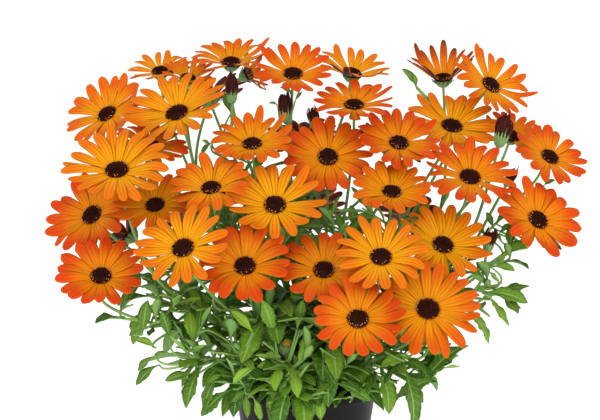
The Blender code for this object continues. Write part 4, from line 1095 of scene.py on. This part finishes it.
def ray_rows(head, bearing):
    """The rows of the ray that stands at a bearing, drawn between the CAD rays on either side."""
    turn = 2 * math.pi
    gaps = [((bearing - ray.bearing) % turn, ray) for ray in head.rays]
    behind, low = min(gaps, key=lambda gap: gap[0])
    ahead, high = min((((ray.bearing - bearing) % turn), ray) for ray in head.rays)
    share = behind / (behind + ahead) if behind + ahead else 0
    spun = Matrix.Rotation(bearing, 3, "Z")
    return [spun @ a.lerp(b, share) for a, b in zip(low.rows, high.rows)]


def add_ray(blades, head, index, count, crowding, outline, tint, age, rng):
    """One ray petal of a head, in the head's own frame."""
    bearing = 2 * math.pi * (index + rng.uniform(*RAY_SWAY)) / count
    wide, tip, edge, blunt = ray_rows(head, bearing)
    out = Vector((math.cos(bearing), math.sin(bearing), 0))
    across = Vector((out.y, -out.x, 0))
    foot = out * head.radius * RAY_FOOT
    length = (tip - foot).length
    wander = across * rng.uniform(*RAY_WANDER) + Vector((0, 0, rng.uniform(*RAY_WANDER)))
    wide = wide + wander * length
    tip = wide + (tip - wide) * rng.uniform(*RAY_REACH)
    rise = rng.uniform(*(RAY_RISES if rng.random() > RAY_RAISED else RAY_RAISED_RISES))
    tip += (across * rng.uniform(*RAY_TIP_WANDER) + Vector((0, 0, rise))) * length
    half = math.pi * wide.to_2d().length / count * crowding * rng.uniform(*RAY_FULLNESS)
    layer = RAY_LAYER if index % 2 else -RAY_LAYER
    fold = rng.uniform(*RAY_FOLD) * half
    crease = RAY_CREASE * rng.uniform(*RAY_CREASED)
    spin = Matrix.Rotation(math.radians(rng.uniform(*RAY_SPIN)), 3, tip - foot)
    edge, blunt = spin @ edge.normalized(), spin @ blunt.normalized()

    def lift(u, share):
        swell = math.sin(math.pi * min(share * 1.05, 1))
        return swell * (layer + crease * math.cos(RAY_CREASES * math.pi * u)) + fold * u * u * share

    middles = [glide(RAY_KNOTS, [foot, wide, tip], share) for share, _ in outline]
    edges = [glide(RAY_KNOTS, [across, edge, blunt], share) for share, _ in outline]
    halves = [half * width for _, width in outline]
    tint += rng.uniform(*RAY_TINTS)
    blades.add(middles, edges, halves, RAY_ACROSS, lift, RAY_THICK, tint, age)


def ray_petals():
    """Ray petal: thin, satin and a little see-through, deeper at its tip and foot, with painted shade in
    its creases and a painted highlight along its edges.
    """
    made, tree, shader = new_material("ray_petal", Roughness=0.6, Specular_IOR_Level=0.12,
                                      Subsurface_Weight=0.4, Subsurface_Scale=1.5 * MM)
    marks = {}
    for name in ("along", "across", "under", "tint", "age"):
        marks[name] = add_node(tree, "ShaderNodeAttribute", attribute_name=name).outputs["Fac"]
    side = add_node(tree, "ShaderNodeMath", {0: marks["across"]}, operation="ABSOLUTE").outputs[0]
    wide = add_node(tree, "ShaderNodeMath", {0: marks["across"], 1: 9.0}, operation="MULTIPLY")
    long = add_node(tree, "ShaderNodeMath", {0: marks["along"], 1: 1.6}, operation="MULTIPLY")
    flow = add_node(tree, "ShaderNodeCombineXYZ", {"X": wide.outputs[0], "Y": long.outputs[0],
                                                   "Z": marks["tint"]})
    streak = add_node(tree, "ShaderNodeTexNoise", {"Vector": flow.outputs[0], "Scale": 1.0, "Detail": 3})
    outer = add_node(tree, "ShaderNodeMix", {
        0: marks["tint"], 6: linear(RAY_RED), 7: linear(RAY_AMBER),
    }, data_type="RGBA")
    inner = add_node(tree, "ShaderNodeMix", {
        0: marks["tint"], 6: linear(RAY_RED_INNER), 7: linear(RAY_AMBER_INNER),
    }, data_type="RGBA")
    wander = add_node(tree, "ShaderNodeMath", {0: streak.outputs["Fac"], 1: 0.5, 2: marks["along"]},
                      operation="MULTIPLY_ADD")
    reach = add_node(tree, "ShaderNodeMapRange", {
        "Value": wander.outputs[0], "From Min": 0.42, "From Max": 0.95,
    }, interpolation_type="SMOOTHSTEP")
    body = add_node(tree, "ShaderNodeMix", {
        0: reach.outputs[0], 6: inner.outputs[2], 7: outer.outputs[2],
    }, data_type="RGBA")
    # Painted shade: the sunk grooves of the creases are darkened towards a deep red, as shade would fall
    # in them.
    comb = add_node(tree, "ShaderNodeMath", {0: marks["across"], 1: 3 * math.pi}, operation="MULTIPLY")
    waves = add_node(tree, "ShaderNodeMath", {0: comb.outputs[0]}, operation="COSINE")
    sunk = add_node(tree, "ShaderNodeMapRange", {
        "Value": waves.outputs[0], "From Min": -0.3, "From Max": -1.0, "To Max": 0.8,
    })
    fine = add_node(tree, "ShaderNodeMath", {0: sunk.outputs[0], 1: streak.outputs["Fac"]},
                    operation="MULTIPLY")
    shaded_creases = add_node(tree, "ShaderNodeMix", {
        0: fine.outputs[0], 6: body.outputs[2], 7: linear(RAY_CREASE_SHADE),
    }, data_type="RGBA")
    # Painted highlight: a paler orange along each ray's edges, as light catching the rims.
    rim = add_node(tree, "ShaderNodeMapRange", {
        "Value": side, "From Min": 0.78, "From Max": 1.0, "To Max": 0.55,
    })
    edge_highlighted = add_node(tree, "ShaderNodeMix", {
        0: rim.outputs[0], 6: shaded_creases.outputs[2], 7: linear(RAY_EDGE_HIGHLIGHT),
    }, data_type="RGBA")
    foot = add_node(tree, "ShaderNodeMapRange", {
        "Value": marks["along"], "From Min": 0.0, "From Max": 0.09, "To Min": 0.7, "To Max": 0.0,
    })
    footed = add_node(tree, "ShaderNodeMix", {
        0: foot.outputs[0], 6: edge_highlighted.outputs[2], 7: linear(RAY_FOOT_RED),
    }, data_type="RGBA")
    stripe = add_node(tree, "ShaderNodeMapRange", {
        "Value": side, "From Min": 0.35, "From Max": 0.95, "To Min": 1.0, "To Max": 0.35,
    })
    under = add_node(tree, "ShaderNodeMix", {
        0: stripe.outputs[0], 6: linear(RAY_UNDER), 7: linear(RAY_UNDER_STRIPE),
    }, data_type="RGBA")
    turned_over = add_node(tree, "ShaderNodeMix", {
        0: marks["under"], 6: footed.outputs[2], 7: under.outputs[2],
    }, data_type="RGBA")
    fresh = add_node(tree, "ShaderNodeMath", {0: marks["age"], 1: -1.1, 2: 1.0}, operation="MULTIPLY_ADD")
    dead = add_node(tree, "ShaderNodeMath", {0: fresh.outputs[0], 1: 0.5}, operation="ADD")
    dry = add_node(tree, "ShaderNodeMapRange", {
        "Value": marks["along"], "From Min": fresh.outputs[0], "From Max": dead.outputs[0],
        "To Max": 0.88,
    })
    tint = add_node(tree, "ShaderNodeMix", {
        0: dry.outputs[0], 6: turned_over.outputs[2], 7: linear(RAY_DRY),
    }, data_type="RGBA")
    bump = add_node(tree, "ShaderNodeBump", {
        "Height": streak.outputs["Fac"], "Strength": 0.3, "Distance": 0.3 * MM,
    })
    tree.links.new(tint.outputs[2], shader.inputs["Base Color"])
    tree.links.new(bump.outputs["Normal"], shader.inputs["Normal"])
    return made


# Each sum of the floret tree: what it gives, its operation, and the sums, inputs or numbers it takes.
FLORET_SUMS = (
    ("from middle", "ADD", "index", 0.5), ("share", "DIVIDE", "from middle", "Florets"),
    ("root", "SQRT", "share"), ("out", "MULTIPLY", "root", "Disc Radius"),
    ("turn", "MULTIPLY", "index", GOLDEN_TURN), ("from rim", "SUBTRACT", 1.0, "share"),
    ("rise", "MULTIPLY", "from rim", "Disc Height"), ("cosine", "COSINE", "turn"),
    ("sine", "SINE", "turn"), ("sideways", "MULTIPLY", "out", "cosine"),
    ("ahead", "MULTIPLY", "out", "sine"), ("bud top", "MULTIPLY", "Floret Radius", 0.35),
    ("bud height", "MULTIPLY", "Floret Radius", 1.7), ("star top", "MULTIPLY", "Floret Radius", 1.05),
    ("star foot", "MULTIPLY", "Floret Radius", 0.5), ("star height", "MULTIPLY", "Floret Radius", 2.2),
    ("pollen", "MULTIPLY", "Floret Radius", 0.7), ("pollen lift", "MULTIPLY", "Floret Radius", 2.4),
)


def floret_tree():
    """Geometry nodes that set tiny florets in a spiral over a dome, the outer ones open."""
    tree, given = new_tree("disc florets", {
        "Florets": "Int", "Disc Radius": "Float", "Disc Height": "Float", "Floret Radius": "Float",
        "Open From": "Float", "Seed": "Int",
    })
    index = add_node(tree, "GeometryNodeInputIndex").outputs[0]
    sums = {"index": index, **dict(given.items())}
    for name, operation, *values in FLORET_SUMS:
        inputs = {n: sums.get(value, value) for n, value in enumerate(values)}
        sums[name] = add_node(tree, "ShaderNodeMath", inputs, operation=operation).outputs[0]
    share = sums["share"]
    spot = add_node(tree, "ShaderNodeCombineXYZ", {
        0: sums["sideways"], 1: sums["ahead"], 2: sums["rise"],
    }).outputs[0]
    row = add_node(tree, "GeometryNodeMeshLine", {"Count": given["Florets"]})
    spiral = add_node(tree, "GeometryNodeSetPosition", {
        "Geometry": row.outputs[0], "Position": spot,
    }).outputs[0]
    lean = add_node(tree, "ShaderNodeVectorMath", {0: spot, 1: (1, 1, 0)}, operation="MULTIPLY")
    tall = add_node(tree, "ShaderNodeCombineXYZ", {2: given["Disc Radius"]}).outputs[0]
    way = add_node(tree, "ShaderNodeVectorMath", {0: lean.outputs[0], 1: tall},
                   operation="ADD").outputs[0]
    aimed = add_node(tree, "FunctionNodeAlignRotationToVector", {"Vector": way}, axis="Z").outputs[0]
    size = add_node(tree, "FunctionNodeRandomValue", {
        2: FLORET_SIZES[0], 3: FLORET_SIZES[1], "Seed": given["Seed"],
    }).outputs[1]
    open_ones = add_node(tree, "FunctionNodeCompare", {0: share, 1: given["Open From"]}).outputs[0]
    shut_ones = add_node(tree, "FunctionNodeBooleanMath", {0: open_ones}, operation="NOT").outputs[0]
    bud = add_node(tree, "GeometryNodeMeshCone", {
        "Vertices": 6, "Radius Top": sums["bud top"], "Radius Bottom": given["Floret Radius"],
        "Depth": sums["bud height"],
    }).outputs[0]
    star = add_node(tree, "GeometryNodeMeshCone", {
        "Vertices": 5, "Radius Top": sums["star top"], "Radius Bottom": sums["star foot"],
        "Depth": sums["star height"],
    }).outputs[0]
    pollen = add_node(tree, "GeometryNodeMeshIcoSphere", {"Radius": sums["pollen"]}).outputs[0]
    raised = add_node(tree, "ShaderNodeCombineXYZ", {2: sums["pollen lift"]}).outputs[0]
    on_top = add_node(tree, "GeometryNodeSetPosition", {"Geometry": pollen, "Offset": raised}).outputs[0]
    joined = add_node(tree, "GeometryNodeJoinGeometry").inputs[0]
    dusted = add_node(tree, "FunctionNodeRandomValue", {
        6: POLLEN_SHARE, "Seed": given["Seed"],
    }, data_type="BOOLEAN").outputs[3]
    with_pollen = add_node(tree, "FunctionNodeBooleanMath", {0: open_ones, 1: dusted}).outputs[0]
    kinds = (bud, shut_ones, 0.0), (star, open_ones, 0.3), (on_top, with_pollen, 1.0)
    for shape, chosen, bloom in kinds:
        colour = add_node(tree, "GeometryNodeStoreNamedAttribute", {
            "Geometry": shape, "Name": "tint", "Value": bloom,
        }).outputs[0]
        placed = add_node(tree, "GeometryNodeInstanceOnPoints", {
            "Points": spiral, "Selection": chosen, "Instance": colour, "Rotation": aimed, "Scale": size,
        }).outputs[0]
        tree.links.new(placed, joined)
    tree.links.new(given["Geometry"], joined)
    return end_tree(tree, joined.node.outputs[0], given["Material"])


def floret_dome(head):
    """The dome under a head's florets, closed, in the head's own frame."""
    points = [(head.radius * DOME_EDGE, -DOME_SUNK)]
    for k in range(DOME_RINGS):
        share = 1 - k / DOME_RINGS
        points.append((head.radius * share, head.height * FLORET_DOME * (1 - share * share)))
    return turned(points, DOME_TURNS)


def disc_skin():
    """Disc florets: matte, almost black maroon, with redder tips and specks of cream pollen."""
    made, tree, shader = new_material("disc_floret", Roughness=0.6, Specular_IOR_Level=0.15)
    mark = add_node(tree, "ShaderNodeAttribute", attribute_name="tint").outputs["Fac"]
    place = add_node(tree, "ShaderNodeTexCoord").outputs["Object"]
    cell = add_node(tree, "ShaderNodeTexNoise", {"Vector": place, "Scale": 1100, "Detail": 1})
    mottle = add_node(tree, "ShaderNodeMapRange", {
        "Value": cell.outputs["Fac"], "From Min": 0.42, "From Max": 0.68,
    })
    dark = add_node(tree, "ShaderNodeMix", {
        0: mottle.outputs[0], 6: linear(DISC_DARK), 7: linear(DISC_TIP),
    }, data_type="RGBA")
    ripe = add_node(tree, "ShaderNodeMapRange", {"Value": mark, "From Min": 0.5})
    tint = add_node(tree, "ShaderNodeMix", {
        0: ripe.outputs[0], 6: dark.outputs[2], 7: linear(DISC_POLLEN),
    }, data_type="RGBA")
    tree.links.new(tint.outputs[2], shader.inputs["Base Color"])
    return made


def cup_skin():
    """Bracts of the cup: soft hairy green, paler between, with thin brownish tips."""
    made, tree, shader = new_material("green_bract", Roughness=0.6, Sheen_Weight=0.08,
                                      Specular_IOR_Level=0.3)
    along = add_node(tree, "ShaderNodeAttribute", attribute_name="along").outputs["Fac"]
    place = add_node(tree, "ShaderNodeTexCoord").outputs["Object"]
    patch = add_node(tree, "ShaderNodeTexNoise", {"Vector": place, "Scale": 260, "Detail": 3})
    green = add_node(tree, "ShaderNodeMix", {
        0: patch.outputs["Fac"], 6: linear(CUP_GREEN), 7: linear(CUP_PALE),
    }, data_type="RGBA")
    tip = add_node(tree, "ShaderNodeMapRange", {
        "Value": along, "From Min": 0.78, "From Max": 1.0, "To Max": 0.7,
    })
    tint = add_node(tree, "ShaderNodeMix", {
        0: tip.outputs[0], 6: green.outputs[2], 7: linear(CUP_EDGE),
    }, data_type="RGBA")
    bump = add_node(tree, "ShaderNodeBump", {
        "Height": patch.outputs["Fac"], "Strength": 0.3, "Distance": 0.1 * MM,
    })
    tree.links.new(tint.outputs[2], shader.inputs["Base Color"])
    tree.links.new(bump.outputs["Normal"], shader.inputs["Normal"])
    return made


def add_bract(blades, turn, line, outline, bend, thickness):
    """A bract at a turn round its head, along a line of radii and heights."""
    out = Vector((math.cos(turn), math.sin(turn), 0))
    middles = [out * r + Vector((0, 0, z)) for r, z in line]
    edge = Vector((out.y, -out.x, 0))
    halves = [BRACT_HALF * width for _, width in outline]
    blades.add(middles, [edge] * len(line), halves, LEAF_ACROSS, lambda u, share: bend * u * u,
               thickness)


def cup_mesh(head, line, rng):
    """A head's cup and the bracts that wrap it, with tips that reach under the rays."""
    scale = head.radius / CAD_RADIUS
    body = turned([(r * MM * scale, z * MM) for r, z in CUP_PROFILE], CUP_TURNS)
    blades = Blades()
    for k in range(CUP_BRACTS):
        turn = 2 * math.pi * (k + rng.uniform(*BRACT_SWAY)) / CUP_BRACTS
        stretch = rng.uniform(*BRACT_STRETCH)
        reach = [(r * MM * scale * (stretch if r * MM > STRETCHED_FROM else 1), z * MM) for r, z in line]
        add_bract(blades, turn, reach, BRACT_OUTLINE, BRACT_BEND, BRACT_THICK)
    first = len(blades.points)
    blades.points += [v.co.copy() for v in body.vertices]
    blades.faces += [tuple(first + n for n in face.vertices) for face in body.polygons]
    for values in blades.marks.values():
        values += [0] * (len(blades.points) - first)
    return blades.mesh(head.matrix)


def lift_rays(head, angle):
    """Turns a head's rays further up round their feet."""
    up_turn = Matrix.Rotation(-angle, 3, "Y")
    hinge = Vector((head.radius, 0, 0))
    for ray in head.rays:
        ray.rows[:2] = [hinge + up_turn @ (row - hinge) for row in ray.rows[:2]]


def has_dropped(head, share, sector):
    """Whether the ray that stands at a share of the way round points into a sector of the picture."""
    way = head.matrix.to_3x3() @ (Matrix.Rotation(2 * math.pi * share, 3, "Z") @ right)
    turn = math.degrees(math.atan2(way.dot(up), way.dot(right))) % 360
    return bool(sector) and sector[0] < turn < sector[1]


petal, floret, bract = ray_petals(), disc_skin(), cup_skin()
disc_florets = floret_tree()
rng = random.Random(5)
for name in bloom_names:
    number = int(name[-2:])
    head = heads[name]
    tint = AMBER_TINT if number in AMBER else RED_TINT if number in RED_ORANGE else ORANGE_TINT
    lift_rays(head, RAISED.get(number, 0))
    count = RAY_COUNT + rng.choice((-1, 0, 0, 1)) + (BROAD_MORE if head.radius > BROAD_DISC else 0)
    crowding = RAY_CROWDING[0 if number in AMBER else 1] * rng.uniform(*HEAD_FULLNESS)
    crowding *= NARROWED if number in NARROW else 1
    blades = Blades()
    for index in range(count):
        if not has_dropped(head, index / count, FALLEN.get(number)):
            add_ray(blades, head, index, count, crowding, RAY_OUTLINE, tint, AGES.get(number, 0), rng)
    new_piece(name + "_rays", blades.mesh(head.matrix), petal, "ray_orange", name)
    disc = grown(floret_dome(head), disc_florets, Florets=FLORETS, Seed=number, Material=floret,
                 Open_From=rng.uniform(*FLORETS_SHUT), Disc_Radius=head.radius * FLORET_SPREAD,
                 Disc_Height=head.height * FLORET_DOME,
                 Floret_Radius=FLORET_RADIUS * head.radius / CAD_RADIUS)
    disc.transform(head.matrix)
    new_piece(name + "_disc", disc, floret, "bud_plum")
    new_piece(name + "_cup", cup_mesh(head, BRACT_LINE, rng), bract, "leaf_green")

# The shut heads. Their rays have not spread, or have closed again, and stand up together with their
# dark undersides outwards, over a green cup.
SHUT_RAYS = 14
SHUT_CROWDING = 1.9
SHUT_OUTLINE = (
    (0, 0.6), (0.12, 0.8), (0.25, 0.95), (0.4, 1.0), (0.55, 0.92), (0.7, 0.74), (0.82, 0.52),
    (0.91, 0.3), (0.96, 0.18), (1, 0.05),
)
SHUT_AGE = 1.4
SHUT_BRACT_LINE = ((2.0, -6.8), (4.3, -5.4), (6.2, -2.6), (6.9, 1.2), (6.9, 6.0))
SHUT_TIPS = (0.15, 0.6, 0.5, 0.15, 0.4, 0.5)  # how far out each one's tips are, of their CAD rays'
SHUT_SIZES = (0.9, 1, 0.85, 1.2, 0.75, 0.9)
for name, drawn_in, size in zip(bud_names, SHUT_TIPS, SHUT_SIZES):
    head = heads[name]
    head.matrix[:] = Matrix.Translation(head.seat) @ Matrix.Scale(size, 4) @ \
        Matrix.Translation(-head.seat) @ head.matrix
    for ray in head.rays:
        ray.rows[1].x *= drawn_in
    blades = Blades()
    for index in range(SHUT_RAYS):
        add_ray(blades, head, index, SHUT_RAYS, SHUT_CROWDING, SHUT_OUTLINE, 0, SHUT_AGE, rng)
    new_piece(name + "_rays", blades.mesh(head.matrix), petal, "bud_plum", name)
    new_piece(name + "_cup", cup_mesh(head, SHUT_BRACT_LINE, rng), bract, "leaf_green")

# The youngest buds, low in the foliage. Rings of green bracts still wrap each one, and the greenish
# yellow florets of its disc show between their tips.
YOUNG_BRACTS = 9
YOUNG_RINGS = ((5.0, 8.2), (4.5, 8.8), (4.1, 9.2))  # mm, how wide and how high
YOUNG_BEND, YOUNG_THICK = 0.3 * MM, 0.4 * MM
YOUNG_OUTLINE = ((0, 0.5), (0.3, 0.9), (0.6, 1.0), (0.85, 0.7), (1, 0.1))
YOUNG_FLORETS, YOUNG_FLORET_RADIUS = 60, 0.6 * FLORET_RADIUS
YOUNG_DOME = Head(Matrix.Translation((0, 0, 8.6 * MM)), 3.2 * MM, 2.2 * MM, [], Vector())
YOUNG_YELLOW, YOUNG_AMBER = "#b9a01e", "#e0a818"


def young_bud(seat, way, rng):
    """Three rings of bracts that bend over a bud, the outer ring first."""
    blades = Blades()
    for ring, (belly, height) in enumerate(YOUNG_RINGS):
        line = ((0.8, 0), (belly * 0.8, height * 0.2), (belly, height * 0.5),
                (belly * 0.95, height * 0.8), (belly * 0.75, height))
        line = [(r * MM, z * MM) for r, z in line]
        for k in range(YOUNG_BRACTS):
            turn = 2 * math.pi * (k + ring / 3 + rng.uniform(*BRACT_SWAY)) / YOUNG_BRACTS
            add_bract(blades, turn, line, YOUNG_OUTLINE, YOUNG_BEND, YOUNG_THICK)
    return blades.mesh(facing(seat, way))


def young_floret():
    """Unopened disc florets: matte greenish yellow, with riper ones among them."""
    made, tree, shader = new_material("young_floret", Roughness=0.6)
    place = add_node(tree, "ShaderNodeTexCoord").outputs["Object"]
    patch = add_node(tree, "ShaderNodeTexNoise", {"Vector": place, "Scale": 700})
    tint = add_node(tree, "ShaderNodeMix", {
        0: patch.outputs["Fac"], 6: linear(YOUNG_YELLOW), 7: linear(YOUNG_AMBER),
    }, data_type="RGBA")
    tree.links.new(tint.outputs[2], shader.inputs["Base Color"])
    return made


yellow = young_floret()
number = 0
for name in stem_names:
    for seat, way in green_buds[name]:
        number += 1
        new_piece(f"young_bud_{number}", young_bud(seat, way, rng), bract, "leaf_green")
        disc = grown(floret_dome(YOUNG_DOME), disc_florets, Florets=YOUNG_FLORETS, Open_From=1.0,
                     Disc_Radius=YOUNG_DOME.radius, Disc_Height=YOUNG_DOME.height,
                     Floret_Radius=YOUNG_FLORET_RADIUS, Seed=number, Material=yellow)
        disc.transform(facing(seat, way) @ YOUNG_DOME.matrix)
        new_piece(f"young_bud_{number}_disc", disc, yellow, "leaf_green")

# The studio. A plain pale paper floor that is lit from below as a light table is, two large soft
# boxes before the plant and an even white surround, with the camera where the photograph's was.
FLOOR_HALF = 9
FLOOR_PALE = "#f6f6f4"
FLOOR_GLOW = 0.5
KEY_PLACE, KEY_POWER, KEY_SIZE = (-0.6, -1.7, 1.9), 19, 3.4
FILL_PLACE, FILL_POWER, FILL_SIZE = (0.5, -2.4, 0.5), 23.5, 2.2
LAMPS_AIM = Vector((0, 0, 0.18))
WORLD_STRENGTH = 0.68
SENSOR = 36
PHOTO_WIDTH = 600
floor_mesh = bpy.data.meshes.new("floor")
corners = [(x * FLOOR_HALF, y * FLOOR_HALF, 0) for x, y in ((-1, -1), (1, -1), (1, 1), (-1, 1))]
floor_mesh.from_pydata(corners, [], [(0, 1, 2, 3)])
floor_made, _, floor_shader = new_material("floor_paper", Roughness=0.8)
floor_shader.inputs["Base Color"].default_value = linear(FLOOR_PALE)
floor_shader.inputs["Emission Color"].default_value = (1, 1, 1, 1)
floor_shader.inputs["Emission Strength"].default_value = FLOOR_GLOW
floor = bpy.data.objects.new("floor", floor_mesh)
floor_mesh.materials.append(floor_made)
bpy.context.scene.collection.objects.link(floor)
world = bpy.data.worlds.new("studio")
world.use_nodes = True
world.node_tree.nodes["Background"].inputs["Color"].default_value = (1, 1, 1, 1)
world.node_tree.nodes["Background"].inputs["Strength"].default_value = WORLD_STRENGTH
bpy.context.scene.world = world


def add_lamp(name, place, power, size):
    """A square soft box that looks at the middle of the plant."""
    data = bpy.data.lights.new(name, "AREA")
    data.energy = power
    data.size = size
    lamp = bpy.data.objects.new(name, data)
    lamp.location = place
    lamp.rotation_euler = (LAMPS_AIM - Vector(place)).to_track_quat("-Z", "Y").to_euler()
    bpy.context.scene.collection.objects.link(lamp)


add_lamp("key", KEY_PLACE, KEY_POWER, KEY_SIZE)
add_lamp("fill", FILL_PLACE, FILL_POWER, FILL_SIZE)
camera_data = bpy.data.cameras.new("camera")
camera_data.lens = SENSOR * VIEW_RANGE / METRES_PER_PIXEL / PHOTO_WIDTH
camera_data.sensor_width = SENSOR
camera = bpy.data.objects.new("camera", camera_data)
camera.matrix_world = Matrix((right, up, -into)).transposed().to_4x4()
camera.location = aim - into * VIEW_RANGE
bpy.context.scene.collection.objects.link(camera)
bpy.context.scene.camera = camera
bpy.context.scene.view_settings.view_transform = "Standard"
